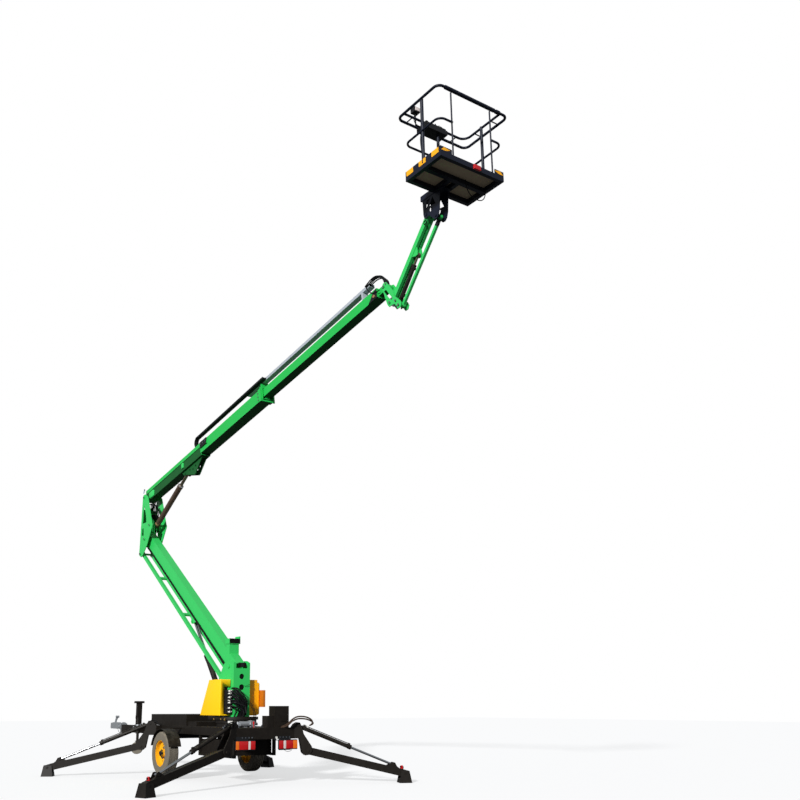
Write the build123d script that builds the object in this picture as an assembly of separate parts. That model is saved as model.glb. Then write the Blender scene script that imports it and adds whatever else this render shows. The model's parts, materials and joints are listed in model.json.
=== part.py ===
from build123d import *
from math import atan2, cos, degrees, hypot, pi, radians, sin
import os

# Towable articulated boom lift on its four outriggers, in millimetres.
# +X points forward to the coupling, +Y to the left, +Z up.
# The slew axis is the Z axis and the floor is z = 0.

# Running and seating clearance
SEAT = 0.3

# Chassis
FRAME_REAR = -944.0
FRAME_FRONT = 1900.0
FRAME_TOP = 820.0
RAIL_OUT = 510.0
RAIL_WIDE = 80.0
RAIL_DEEP = 120.0
BEAM_DEEP = 160.0
BEAM_THICK = 66.0
FRONT_BEAM_HALF = 600.0
WALL = 6.0
RING_R = 300.0
RING_TOP = 930.0
DECK = (520.0, 2300.0, 450.0, 1000.0)
DECK_STEP = (860.0, 890.0)
DRAWBAR_X = (1920.0, 4760.0)
DRAWBAR_Z = (635.0, 775.0)
DRAWBAR_HALF = 50.0
POST_X = 4000.0
POST_TOP = 1230.0
COUPLING_X = 5320.0

# Outriggers: pivot x, pivot y, turn of the leg from sideways
PIVOT_Z = 485.0
LEG_REACH = 1510.0
FOOT_PIN_Z = 138.0
FRONT_PIVOT = (1915.0, 786.0, 29.0)
REAR_PIVOT = (-960.0, 705.0, -22.5)
LEG_DEEP = 110.0
LEG_WIDE = 100.0
CYL_TOP = (-150.0, 848.0)
CYL_EYE = (1330.0, 265.0)
CYL_BARREL = 890.0
CYL_R = 31.0
CYL_ROD_R = 18.0
PLATE_GAP = 56.0
PLATE_T = 12.0
PAD_BASE = 190.0
PAD_NECK = 130.0
PAD_HIGH = 175.0

# Wheels
WHEEL_X = 920.0
WHEEL_Y = 775.0
WHEEL_Z = 405.0
TYRE_R = 330.0
TYRE_W = 185.0
RIM_R = 205.0
JOCKEY = (3530.0, 200.0, 376.0)
JOCKEY_R = 110.0
JOCKEY_W = 56.0

# Turret and lower boom
BOOM_PIN = (0.0, 1750.0)
LOWER_ANGLE = 35.2
LOWER_LONG = 4550.0
LOWER_DEEP = 210.0
LOWER_WIDE = 150.0
COLUMN_HALF = 145.0
COLUMN_REAR = -165.0
ROD_PIN = (187.0, -273.0)
ROD_Y = 95.0
ROD_DEEP = 60.0
ROD_WIDE = 50.0
LOWER_CYL_FOOT = (400.0, 1120.0)
LOWER_CYL_EYE = (1790.0, -244.0)
LOWER_CYL_BARREL = 1100.0

# Elbow
ELBOW_T = (112.0, 870.0)
ELBOW_C = (-228.0, 250.0)
ELBOW_Y = 144.0
ELBOW_PLATE = 12.0

# Upper boom, in its own frame: x along the boom from pin T, n above it
UPPER_ANGLE = 9.0
ROOT_N = (-80.0, 155.0)
ROOT_HALF = 88.0
STRIP_N = (85.0, 160.0)
STRIP_HALF = 98.0
SLEEVE_X = (2480.0, 4780.0)
SLEEVE_N = (-45.0, 155.0)
SLEEVE_HALF = 100.0
INNER_X = (3300.0, 7860.0)
INNER_N = (-1.0, 141.0)
INNER_HALF = 76.0
TIP_PIN = (8010.0, 70.0)
UPPER_CYL_EYE = (1722.0, -139.0)
UPPER_CYL_BARREL = 1230.0
UPPER_CYL_R = 52.0
TRAY_X = (4130.0, 7640.0)
TRAY_N = 348.0
TRAY_WIDE = 90.0
TRAY_HIGH = 48.0
TRAY_WALL = 4.0
CHAIN_BEND = 2300.0
CHAIN_END = 4750.0
CHAIN_WIDE = 72.0
CHAIN_HIGH = 34.0
CHAIN_Y = 40.0

# Jib and platform
JIB_FROM_TIP = (-120.0, -277.0)
JIB_LONG = 1180.0
JIB_ANGLE = 48.8
LEVEL_PIN = (-185.0, -105.0)
JIB_CYL_FOOT = (-125.0, -24.0)
JIB_CYL_EYE = (700.0, 85.0)
JIB_CYL_BARREL = 500.0
FLOOR_X = (-5766.0, -5116.0)
FLOOR_HALF = 509.0
FLOOR_Z = (7405.0, 7475.0)
TOE_TOP = 7535.0
RAIL_Z = 8367.0
MID_Z = 7920.0
RAIL_R = 17.0
GATE_Y = (-440.0, 400.0)
GATE_R = 25.0
GUARD_OUT = 130.0


def block(x0, x1, y0, y1, z0, z1):
    """A box between six planes."""
    return Pos((x0 + x1) / 2, (y0 + y1) / 2, (z0 + z1) / 2) * Box(x1 - x0, y1 - y0, z1 - z0)


def bar(p, q, r):
    """A round bar between two points."""
    v = Vector(*q) - Vector(*p)
    return Plane(origin=p, z_dir=v) * Pos(0, 0, v.length / 2) * Cylinder(r, v.length)


def across(x, z, r, y0, y1):
    """A round bar along Y."""
    return Pos(x, (y0 + y1) / 2, z) * Rot(90, 0, 0) * Cylinder(r, y1 - y0)


def plate(points, y0, y1):
    """A flat plate with its outline in XZ, from y0 to y1."""
    face = Plane.XZ * make_face(Polyline(*points, close=True))
    return Pos(0, y1, 0) * extrude(face, y1 - y0)


def box_tube(x0, x1, half, n0, n1, wall):
    """A rectangular hollow section along X, open at both ends."""
    outer = block(x0, x1, -half, half, n0, n1)
    return outer - block(x0 - 1, x1 + 1, wall - half, half - wall, n0 + wall, n1 - wall)


def pipe(points, r, bend):
    """A round tube along a bent line."""
    line = FilletPolyline(*points, radius=bend)
    return sweep(Plane(origin=line @ 0, z_dir=line % 0) * Circle(r), path=line)


def forward(pin, angle):
    """Local x along a boom that points to +X, raised by angle."""
    return Pos(pin[0], 0, pin[1]) * Rot(0, -angle, 0)


def backward(pin, angle):
    """Local x along a boom that points to -X, raised by angle."""
    return Pos(pin[0], 0, pin[1]) * Rot(0, angle, 0) * Rot(0, 0, 180)


def ahead_of(pin, angle, x, n):
    a = radians(angle)
    return pin[0] + x * cos(a) - n * sin(a), pin[1] + x * sin(a) + n * cos(a)


def behind(pin, angle, x, n):
    a = radians(angle)
    return pin[0] - x * cos(a) + n * sin(a), pin[1] + x * sin(a) + n * cos(a)


def plus(p, q):
    return p[0] + q[0], p[1] + q[1]


def barrel(length, r, rod_r, eye, eye_wide, up):
    """Cylinder barrel along local x from its lower eye at the origin, ports on the side up."""
    start = eye + 30
    body = Pos((length + start) / 2, 0, 0) * Rot(0, 90, 0) * Cylinder(r, length - start)
    body = body + block(0, start + 10, -eye_wide / 2, eye_wide / 2, -0.7 * r, 0.7 * r)
    gland = Pos(length - 25, 0, 0) * Rot(0, 90, 0) * Cylinder(r + 5, 50)
    base = across(0, 0, eye, -eye_wide / 2, eye_wide / 2)
    port_z = sorted((up * (r - 4), up * (r + 19)))
    port = block(start + 20, start + 60, -12, 12, port_z[0], port_z[1])
    tube = bar((start + 40, 0, up * (r + 10)), (length - 40, 0, up * (r + 10)), 6)
    bridge_z = sorted((up * (r - 4), up * (r + 21)))
    bridge = block(length - 60, length - 30, -14, 14, bridge_z[0], bridge_z[1])
    hole = Pos((length - 40 + start + 20) / 2, 0, 0) * Rot(0, 90, 0) * Cylinder(r - 6, length - 60 - start)
    mouth = Pos(length - 20, 0, 0) * Rot(0, 90, 0) * Cylinder(rod_r + SEAT, 60)
    return body + gland + base + port + tube + bridge - hole - mouth


def ram(total, length, r, eye, eye_wide, inside):
    """Piston rod on local x: eye at total, end inside the barrel."""
    start = length - inside
    stem = Pos((start + total) / 2, 0, 0) * Rot(0, 90, 0) * Cylinder(r, total - start)
    return stem + across(total, 0, eye, -eye_wide / 2, eye_wide / 2)


# Points that follow from the sizes above
ELBOW_B = ahead_of(BOOM_PIN, LOWER_ANGLE, LOWER_LONG, 0.0)
PIN_T = plus(ELBOW_B, ELBOW_T)
PIN_C = plus(ELBOW_B, ELBOW_C)
PIN_R = plus(ELBOW_B, ROD_PIN)
PIN_ROD = plus(BOOM_PIN, ROD_PIN)
PIN_L = ahead_of(BOOM_PIN, LOWER_ANGLE, *LOWER_CYL_EYE)
PIN_V = behind(PIN_T, UPPER_ANGLE, *UPPER_CYL_EYE)
PIN_Q = behind(PIN_T, UPPER_ANGLE, *TIP_PIN)
PIN_J = plus(PIN_Q, JIB_FROM_TIP)
PIN_K = behind(PIN_J, JIB_ANGLE, JIB_LONG, 0.0)
PIN_S = plus(PIN_J, LEVEL_PIN)
PIN_U = plus(PIN_K, LEVEL_PIN)
PIN_G = plus(PIN_J, JIB_CYL_FOOT)
PIN_H = behind(PIN_J, JIB_ANGLE, JIB_CYL_EYE[0], -JIB_CYL_EYE[1])


def span(p, q):
    return hypot(q[0] - p[0], q[1] - p[1])


def rise(p, q):
    """Angle above the level of a line that runs towards +X or -X."""
    return degrees(atan2(q[1] - p[1], abs(q[0] - p[0])))


parts = {}

# Chassis frame: two rails, cross beams, slew ring seat, under box
frame = block(FRAME_REAR, FRAME_REAR + BEAM_THICK, -RAIL_OUT, RAIL_OUT, FRAME_TOP - BEAM_DEEP, FRAME_TOP)
for side in (-1, 1):
    y0, y1 = sorted((side * (RAIL_OUT - RAIL_WIDE), side * RAIL_OUT))
    rail = block(FRAME_REAR, FRAME_FRONT, y0, y1, FRAME_TOP - RAIL_DEEP, FRAME_TOP)
    core = block(FRAME_REAR + 10, FRAME_FRONT - 10, y0 + WALL, y1 - WALL, FRAME_TOP - RAIL_DEEP + WALL, FRAME_TOP - WALL)
    frame = frame + (rail - core)
    start = -870 if side > 0 else -400
    low = block(start, 300, y0 + 20, y1 - 20, 395, 430)
    frame = frame + low + block(start, start + 50, y0 + 20, y1 - 20, 395, 705) + block(250, 300, y0 + 20, y1 - 20, 395, 705)
frame = frame + block(FRAME_FRONT - 200, FRAME_FRONT + 20, -FRONT_BEAM_HALF, FRONT_BEAM_HALF, FRAME_TOP - 140, FRAME_TOP)
for x in (-420.0, 340.0, 1100.0):
    frame = frame + block(x - 30, x + 30, -RAIL_OUT, RAIL_OUT, FRAME_TOP - 110, FRAME_TOP - 10)
deck = block(FRAME_REAR, 480, -RAIL_OUT, RAIL_OUT, FRAME_TOP - 12, FRAME_TOP)
seat = Pos(0, 0, 850) * Cylinder(RING_R, 60)
ring = Pos(0, 0, (880 + RING_TOP - SEAT) / 2) * Cylinder(RING_R + 18, RING_TOP - SEAT - 880)
bore = Pos(0, 0, 880) * Cylinder(RING_R - 70, 200)
tank = block(-330, 260, -452, 452, 400, 640) - block(-322, 252, -444, 444, 408, 632)
frame = frame + deck + (seat + ring - bore) + tank
parts["chassis_frame"] = frame

# Outrigger brackets: leg plane drawn along X, pivot at the origin
bracket_side = [(-270, 176), (-270, 300), (-215, 385), (-165, 412), (-120, 408), (-95, 360), (-60, 240), (62, 60), (70, 0), (30, -62), (-40, -70), (-85, -30), (-125, 176)]
corners = {"front_left": (FRONT_PIVOT, 1), "front_right": (FRONT_PIVOT, -1), "rear_left": (REAR_PIVOT, 1), "rear_right": (REAR_PIVOT, -1)}


def leg_plane(corner):
    """Place of a leg: local x runs outward from the pivot, z is up."""
    (x, y, turn), side = corners[corner]
    return Pos(x, side * y, PIVOT_Z) * Rot(0, 0, side * (90 - turn))


slope = degrees(atan2(PIVOT_Z - FOOT_PIN_Z, LEG_REACH))
leg_long = hypot(PIVOT_Z - FOOT_PIN_Z, LEG_REACH)
eye_s, eye_z = CYL_EYE[0], CYL_EYE[1] - PIVOT_Z
top_s, top_z = CYL_TOP[0], CYL_TOP[1] - PIVOT_Z
eye_x = eye_s * cos(radians(slope)) - eye_z * sin(radians(slope))
eye_n = eye_s * sin(radians(slope)) + eye_z * cos(radians(slope))
cyl_long = hypot(eye_s - top_s, eye_z - top_z)
cyl_drop = degrees(atan2(top_z - eye_z, eye_s - top_s))

for corner in corners:
    at = leg_plane(corner)
    cheeks = plate(bracket_side, PLATE_GAP, PLATE_GAP + PLATE_T) + plate(bracket_side, -PLATE_GAP - PLATE_T, -PLATE_GAP)
    filler = block(-270, -225, -PLATE_GAP, PLATE_GAP, 178, 300)
    pins = across(0, 0, 24, -PLATE_GAP - 22, PLATE_GAP + 22) + across(top_s, top_z, 18, -PLATE_GAP - 20, PLATE_GAP + 20)
    parts["chassis_frame"] = parts["chassis_frame"] + at * (cheeks + filler + pins)

    leg = box_tube(-10, leg_long - 40, LEG_WIDE / 2, -LEG_DEEP / 2, LEG_DEEP / 2, WALL)
    leg = leg + across(0, 0, LEG_DEEP / 2, -LEG_WIDE / 2, LEG_WIDE / 2) + across(leg_long, 0, LEG_DEEP / 2 - 3, -LEG_WIDE / 2, LEG_WIDE / 2)
    leg = leg + block(leg_long - 60, leg_long, -LEG_WIDE / 2, LEG_WIDE / 2, 3 - LEG_DEEP / 2, LEG_DEEP / 2 - 3)
    lug = [(eye_x - 95, LEG_DEEP / 2 - 4), (eye_x - 40, eye_n + 20), (eye_x - 14, eye_n + 38), (eye_x + 20, eye_n + 36), (eye_x + 60, eye_n - 10), (eye_x + 110, LEG_DEEP / 2 - 4)]
    for y0 in (-42.0, 30.0):
        leg = leg + plate(lug, y0, y0 + 12)
    leg = leg + across(eye_x, eye_n, 17, -50, -29) + across(eye_x, eye_n, 17, 29, 50)
    if corner.startswith("rear"):
        leg = leg + Pos(leg_long - 50, 0, LEG_DEEP / 2 + 14) * Cylinder(22, 36)
    leg = leg - across(0, 0, 24.5, -LEG_WIDE, LEG_WIDE)
    leg = leg + across(leg_long, 0, 20, -PAD_NECK / 2 - 8, PAD_NECK / 2 + 8)
    parts["leg_" + corner] = at * Rot(0, slope, 0) * leg

    outer = loft([Plane.XY * Rectangle(PAD_BASE, PAD_BASE), Plane.XY.offset(PAD_HIGH) * Rectangle(PAD_NECK, PAD_NECK)])
    inner = loft([Plane.XY.offset(12) * Rectangle(PAD_BASE - 30, PAD_BASE - 30), Plane.XY.offset(PAD_HIGH + 1) * Rectangle(PAD_NECK - 18, PAD_NECK - 18)])
    pad = outer - inner - block(-150, 0, 6 - PAD_NECK / 2, PAD_NECK / 2 - 6, 70, 260)
    pad = pad - block(-20, 20, -56, 56, 100, 260) - across(0, FOOT_PIN_Z, 20.5, -100, 100)
    foot = Pos(LEG_REACH, 0, -PIVOT_Z)
    parts["pad_" + corner] = at * foot * pad

    line = at * Pos(top_s, 0, top_z) * Rot(0, cyl_drop, 0)
    body = barrel(CYL_BARREL, CYL_R, CYL_ROD_R, 38, 50, 1) - across(0, 0, 18.5, -60, 60)
    parts["barrel_" + corner] = line * body
    parts["ram_" + corner] = line * ram(cyl_long, CYL_BARREL, CYL_ROD_R, 25, 44, 200)

# Axle, fenders, wheels
axle = block(1150, 1230, -560, 560, 620, FRAME_TOP - RAIL_DEEP)
for side in (-1, 1):
    inner_y = side * (WHEEL_Y - TYRE_W / 2 - 60)
    axle = axle + plate([(1230, 690), (1150, 690), (880, 450), (880, 360), (960, 360), (1230, 620)], min(inner_y, inner_y + side * 24), max(inner_y, inner_y + side * 24))
    axle = axle + block(1150, 1230, min(0, side * 640), max(0, side * 640), 640, 700)
    axle = axle + across(WHEEL_X, WHEEL_Z, 30, min(inner_y, side * (WHEEL_Y - 20)), max(inner_y, side * (WHEEL_Y - 20)))
parts["axle"] = axle
for name, side in (("left", 1), ("right", -1)):
    y0, y1 = sorted((side * (WHEEL_Y - 112), side * (WHEEL_Y + 98)))
    shell = across(WHEEL_X, WHEEL_Z, TYRE_R + 46, y0, y1) - across(WHEEL_X, WHEEL_Z, TYRE_R + 40, y0 - 1, y1 + 1)
    shell = shell - block(WHEEL_X - 500, WHEEL_X + 500, y0 - 1, y1 + 1, -50, WHEEL_Z + 110)
    arm_y = sorted((side * RAIL_OUT, side * (WHEEL_Y - 60)))
    hanger = block(WHEEL_X - 20, WHEEL_X + 20, arm_y[0], arm_y[1], WHEEL_Z + TYRE_R + 42, WHEEL_Z + TYRE_R + 62)
    parts["fender_" + name] = shell + hanger
    tread = across(0, 0, TYRE_R, -TYRE_W / 2, TYRE_W / 2)
    tread = fillet(tread.edges().filter_by(GeomType.CIRCLE), 28)
    for k in (-2, -1, 1, 2):
        groove = across(0, 0, TYRE_R + 5, k * 27 - 4, k * 27 + 4) - across(0, 0, TYRE_R - 8, k * 27 - 5, k * 27 + 5)
        tread = tread - groove
    tyre = tread - across(0, 0, RIM_R, -TYRE_W, TYRE_W)
    parts["tyre_" + name] = Pos(WHEEL_X, side * WHEEL_Y, WHEEL_Z) * tyre
    rim = across(0, 0, RIM_R, -78, 78) - across(0, 0, RIM_R - 12, -79, 79)
    dish = across(0, 0, RIM_R - 8, 8, 20) + across(0, 0, 62, -40, 58) + across(0, 0, 34, 50, 84)
    dish = dish - across(0, 0, 31, -60, -18)
    for k in range(5):
        a = 2 * pi * k / 5
        dish = dish + across(45 * cos(a), 45 * sin(a), 9, 50, 68)
        dish = dish - across(130 * cos(a), 130 * sin(a), 16, 0, 40)
    flip = 0 if side > 0 else 180
    parts["rim_" + name] = Pos(WHEEL_X, side * WHEEL_Y, WHEEL_Z) * Rot(0, 0, flip) * (rim + dish)

# Tail lamps on their bolted plates
for name, side in (("left", 1), ("right", -1)):
    y0, y1 = sorted((side * 200, side * 522))
    x = FRAME_REAR
    p0, p1 = sorted((side * 210, side * 420))
    lamp = block(x - 6, x, p0, p1, 500, 700) + block(x - 40, x - 6, y0, y1, 508, 652)
    parts["tail_lamp_" + name] = lamp

# Deck cover, control boxes, slew motor
x0, x1, half, top = DECK
step_x, step_z = DECK_STEP
cover = block(step_x, x1, -half, half, FRAME_TOP, top) + block(x0, step_x, 20 - half, half - 20, FRAME_TOP, step_z)
inside = block(step_x + 8, x1 - 8, 8 - half, half - 8, FRAME_TOP - 1, top - 8)
inside = inside + block(x0 + 8, step_x + 20, 28 - half, half - 28, FRAME_TOP - 1, step_z - 8)
cover = cover - inside
parts["deck_cover"] = cover
boxes = block(-860, -700, -190, -70, FRAME_TOP, 992) + block(-880, -700, -430, -187, FRAME_TOP, 1136)
boxes = boxes - block(-884, -872, -380, -300, 900, 915)
parts["control_boxes"] = boxes
motor = Pos(-440, 60, 868) * Rot(90, 0, 0) * Cylinder(42, 230) + block(-500, -390, -60, 10, 820, 915) + bar((-420, 190, 820), (-420, 190, 900), 20)
parts["slew_motor"] = motor + block(-480, -400, 60, 110, 820, 830) + bar((-440, -130, 868), (-440, -50, 868), 22)

# Drawbar, post, coupling, jockey sleeve
x0, x1 = DRAWBAR_X
z0, z1 = DRAWBAR_Z
bar_tube = box_tube(x0, x1, DRAWBAR_HALF, z0, z1, 8)
gusset = plate([(x0, z0 - 4), (x0, 812), (2460, z1 + 4), (2460, z0 + 10)], -DRAWBAR_HALF - 12, -DRAWBAR_HALF)
gusset = gusset + plate([(x0, z0 - 4), (x0, 812), (2460, z1 + 4), (2460, z0 + 10)], DRAWBAR_HALF, DRAWBAR_HALF + 12)
sleeve = Pos(JOCKEY[0], JOCKEY[1], 705) * Cylinder(38, 140) - Pos(JOCKEY[0], JOCKEY[1], 705) * Cylinder(25 + SEAT, 200)
arm = block(JOCKEY[0] - 30, JOCKEY[0] + 30, DRAWBAR_HALF - 4, JOCKEY[1] - 33, 665, 745)
parts["drawbar"] = bar_tube + gusset + sleeve + arm
post = block(POST_X - 45, POST_X + 45, -45, 45, z1, POST_TOP - 40) - block(POST_X - 39, POST_X + 39, -39, 39, z1 + 10, POST_TOP - 46)
post = post + block(POST_X - 60, POST_X + 60, -85, 85, POST_TOP - 40, POST_TOP - 28) + block(POST_X - 56, POST_X + 56, -82, 82, POST_TOP - 28, POST_TOP)
post = post + block(POST_X - 75, POST_X + 75, -50, 50, z1, z1 + 12)
parts["boom_rest"] = post

stem = Pos(4885, 0, 735) * Rot(0, 90, 0) * Cylinder(34, 230) + Pos(4780, 0, 735) * Rot(0, 90, 0) * Cylinder(86, 20)
stem = stem + Pos(4830, 0, 735) * Rot(0, 90, 0) * Cylinder(60, 60) + Pos(4900, 0, 735) * Rot(0, 90, 0) * Cylinder(48, 50)
jaw = plate([(4960, 690), (4960, 790), (5060, 815), (5230, 815), (5390, 800), (5400, 720), (5380, 690), (5100, 690)], -42, 42)
jaw = jaw - Pos(COUPLING_X, 0, 700) * Sphere(26) - Pos(COUPLING_X, 0, 670) * Cylinder(26, 60)
handle = plate([(5200, 810), (5270, 810), (5215, 900), (5150, 915), (5120, 900), (5180, 860)], -9, 9)
knob = across(5140, 925, 22, -32, 32)
shoe = block(x1, x1 + 10, -70, 70, z0 - 20, z1 + 20)
parts["tow_coupling"] = stem + jaw + handle + knob + shoe

tube = Pos(JOCKEY[0], JOCKEY[1], 700) * Cylinder(25, 400) + Pos(JOCKEY[0], JOCKEY[1], 905) * Cylinder(32, 30)
crank = bar((JOCKEY[0], JOCKEY[1], 912), (JOCKEY[0] + 110, JOCKEY[1], 912), 8) + bar((JOCKEY[0] + 110, JOCKEY[1], 905), (JOCKEY[0] + 110, JOCKEY[1], 960), 11)
fork_head = block(-38, 38, -40, 40, 116, 130) + block(-24, 24, -40, -33, -20, 126) + block(-24, 24, 33, 40, -20, 126)
fork = fork_head + across(0, 0, 9, -44, 44)
swivel = Pos(JOCKEY[0], JOCKEY[1], JOCKEY[2]) * Rot(0, 0, 57)
parts["jockey_stem"] = tube + crank + swivel * fork
roll = across(0, 0, JOCKEY_R, -JOCKEY_W / 2, JOCKEY_W / 2)
roll = fillet(roll.edges().filter_by(GeomType.CIRCLE), 10) - across(0, 0, 9.5, -60, 60)
parts["jockey_wheel"] = swivel * roll

# Turret column
side = [(-165, 950), (-165, 1770), (-130, 1812), (-60, 1832), (60, 1832), (175, 1790), (339, 1573), (470, 1180), (480, 950)]
column = Pos(0, 0, (RING_TOP + 955) / 2) * Cylinder(330, 955 - RING_TOP)
for y0 in (-COLUMN_HALF, COLUMN_HALF - 12):
    column = column + plate(side, y0, y0 + 12)
back = block(COLUMN_REAR, COLUMN_REAR + 12, -COLUMN_HALF, COLUMN_HALF, 950, 1800) - block(COLUMN_REAR - 1, COLUMN_REAR + 13, -102, 102, 1712, 1830)
for z, r in ((1586, 42), (1422, 45), (1180, 60)):
    back = back - Pos(COLUMN_REAR, 0, z) * Rot(0, 90, 0) * Cylinder(r, 60)
column = column + back + block(330, 480, -COLUMN_HALF, COLUMN_HALF, 950, 975)
foot_x, foot_z = LOWER_CYL_FOOT
for y0 in (-54.0, 42.0):
    column = column + plate([(foot_x - 90, 950), (foot_x - 45, foot_z + 40), (foot_x + 40, foot_z + 45), (foot_x + 75, 950)], y0, y0 + 12)
column = column + across(foot_x, foot_z, 22, -60, 60)
column = column + across(BOOM_PIN[0], BOOM_PIN[1], 32, -COLUMN_HALF - 16, COLUMN_HALF + 16)
column = column + across(PIN_ROD[0], PIN_ROD[1], 20, -COLUMN_HALF - 10, COLUMN_HALF + 10)
parts["turret_column"] = column

# Turret covers
face = [(-80, 1000), (-80, 1520), (-60, 1540), (300, 1540), (320, 1520), (612, 1010), (605, 980), (-70, 980)]
core = [(-70, 960), (-70, 1515), (-55, 1530), (294, 1530), (312, 1514), (596, 1010), (596, 960)]
left = plate(face, 150, 330) - plate(core, 140, 322)
left = left - block(-90, -60, 140, 262, 1015, 1430)
left = left + block(-72, 60, COLUMN_HALF, 152, 1440, 1530)
parts["cover_left"] = left + block(-60, 450, COLUMN_HALF, 326, 980, 990)
right = plate(face, -330, -150) - plate(core, -322, -140)
bulge = [(-80, 1000), (-80, 1480), (-60, 1500), (280, 1500), (300, 1480), (500, 1060), (500, 1000)]
right = right + block(-60, 450, -326, -COLUMN_HALF, 980, 990) + plate(bulge, -378, -328) + block(-190, 90, -414, -377, 1120, 1380)
parts["cover_right"] = right
bank = block(-150, -20, 158, 250, 1020, 1380)
for z in (1080, 1120, 1270, 1320):
    bank = bank + Pos(-160, 200, z) * Rot(0, 90, 0) * Cylinder(13, 40)
bank = bank + block(-60, -20, COLUMN_HALF, 170, 1100, 1180)
for k, (y, z) in enumerate(((185, 1350), (185, 1300), (215, 1230), (215, 1140), (180, 1190))):
    dx = -195.0 - 22.0 * k
    line = [(-150, y, z), (dx, y, z), (dx, y - 190, z - 60), (dx, y - 250 + 12 * k, 1000 + 8 * k), (-300 - 4 * k, y - 250 + 12 * k, 968 - k)]
    bank = bank + pipe(line[:4], 11, 30)
parts["valve_bank"] = bank

# Lower boom with its saddle and cylinder ears
boom = box_tube(-75, LOWER_LONG + 75, LOWER_WIDE / 2, -LOWER_DEEP / 2, LOWER_DEEP / 2, WALL)
for x in (0.0, LOWER_LONG):
    boom = boom + across(x, 0, 52, -LOWER_WIDE / 2 - 3, LOWER_WIDE / 2 + 3)
for y0 in (-52.0, 40.0):
    ex, en = LOWER_CYL_EYE
    boom = boom + plate([(ex - 190, -LOWER_DEEP / 2 + 4), (ex - 50, en - 20), (ex - 10, en - 46), (ex + 36, en - 34), (ex + 150, -LOWER_DEEP / 2 + 4)], y0, y0 + 12)
    boom = boom + across(ex, en, 24, min(y0, y0 * 1.3), max(y0 + 12, (y0 + 12) * 1.3))
boom = boom - block(ex - 160, ex + 90, -38, 38, -LOWER_DEEP, WALL - LOWER_DEEP / 2 + 1)
boom = forward(BOOM_PIN, LOWER_ANGLE) * boom
saddle = block(95, 235, -95, 95, 2108, 2190) + block(110, 225, -85, 85, 1880, 2112) + block(120, 260, -115, -93, 2110, 2230)
saddle = saddle - forward(BOOM_PIN, LOWER_ANGLE) * block(-400, 900, -200, 200, -400, LOWER_DEEP / 2 - 3)
boom = boom + saddle
boom = boom - across(BOOM_PIN[0], BOOM_PIN[1], 32.5, -200, 200) - across(ELBOW_B[0], ELBOW_B[1], 30.5, -200, 200)
parts["lower_boom"] = boom

# Pair of level rods under the lower boom
rods = None
for y in (-ROD_Y, ROD_Y):
    one = block(0, LOWER_LONG, y - ROD_WIDE / 2, y + ROD_WIDE / 2, -ROD_DEEP / 2, ROD_DEEP / 2)
    one = one - block(60, LOWER_LONG - 60, y - ROD_WIDE / 2 + 4, y + ROD_WIDE / 2 - 4, 4 - ROD_DEEP / 2, ROD_DEEP / 2 - 4)
    one = one + across(0, 0, 42, y - ROD_WIDE / 2, y + ROD_WIDE / 2) + across(LOWER_LONG, 0, 42, y - ROD_WIDE / 2, y + ROD_WIDE / 2)
    rods = one if rods is None else rods + one
for x in (2180.0, 3540.0):
    rods = rods + block(x - 30, x + 30, -ROD_Y, ROD_Y, -18, 18)
rods = rods - across(0, 0, 20.5, -200, 200) - across(LOWER_LONG, 0, 20.5, -200, 200)
parts["level_rods"] = forward(PIN_ROD, LOWER_ANGLE) * rods

# Lower lift cylinder
lower_long = span(LOWER_CYL_FOOT, PIN_L)
lower_rise = rise(LOWER_CYL_FOOT, PIN_L)
line = forward(LOWER_CYL_FOOT, lower_rise)
parts["lower_barrel"] = line * (barrel(LOWER_CYL_BARREL, 45, 26, 48, 70, -1) - across(0, 0, 22.5, -80, 80))
parts["lower_ram"] = line * ram(lower_long, LOWER_CYL_BARREL, 26, 34, 60, 520)

# Elbow link
bx, bz = ELBOW_B
outline = [(bx + 185, bz + 880), (bx + 150, bz + 930), (bx + 60, bz + 925), (bx - 75, bz + 850), (bx - 340, bz + 270), (bx - 370, bz + 235), (bx - 355, bz + 195), (bx - 125, bz - 140), (bx + 60, bz - 320), (bx + 150, bz - 345), (bx + 240, bz - 300), (bx + 250, bz - 250)]
web = plate([(bx + 195, bz + 640), (bx + 183, bz + 640), (bx + 228, bz - 120), (bx + 240, bz - 120)], -ELBOW_Y - 2, ELBOW_Y + 2)
link = web
upper_hole = [(bx + 90, bz + 700), (bx + 130, bz + 560), (bx + 140, bz + 330), (bx - 60, bz + 330), (bx - 20, bz + 480)]
lower_hole = [(bx + 80, bz + 230), (bx + 150, bz + 230), (bx + 170, bz + 100), (bx + 60, bz + 70)]
for y0 in (-ELBOW_Y - ELBOW_PLATE, ELBOW_Y):
    cheek = plate(outline, y0, y0 + ELBOW_PLATE) - plate(upper_hole, y0 - 1, y0 + ELBOW_PLATE + 1) - plate(lower_hole, y0 - 1, y0 + ELBOW_PLATE + 1)
    link = link + cheek
for (px, pz), r in ((ELBOW_B, 30), (PIN_T, 30), (PIN_C, 24), (PIN_R, 20)):
    link = link + across(px, pz, r, -ELBOW_Y - ELBOW_PLATE - 14, ELBOW_Y + ELBOW_PLATE + 14)
parts["elbow_link"] = link

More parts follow.
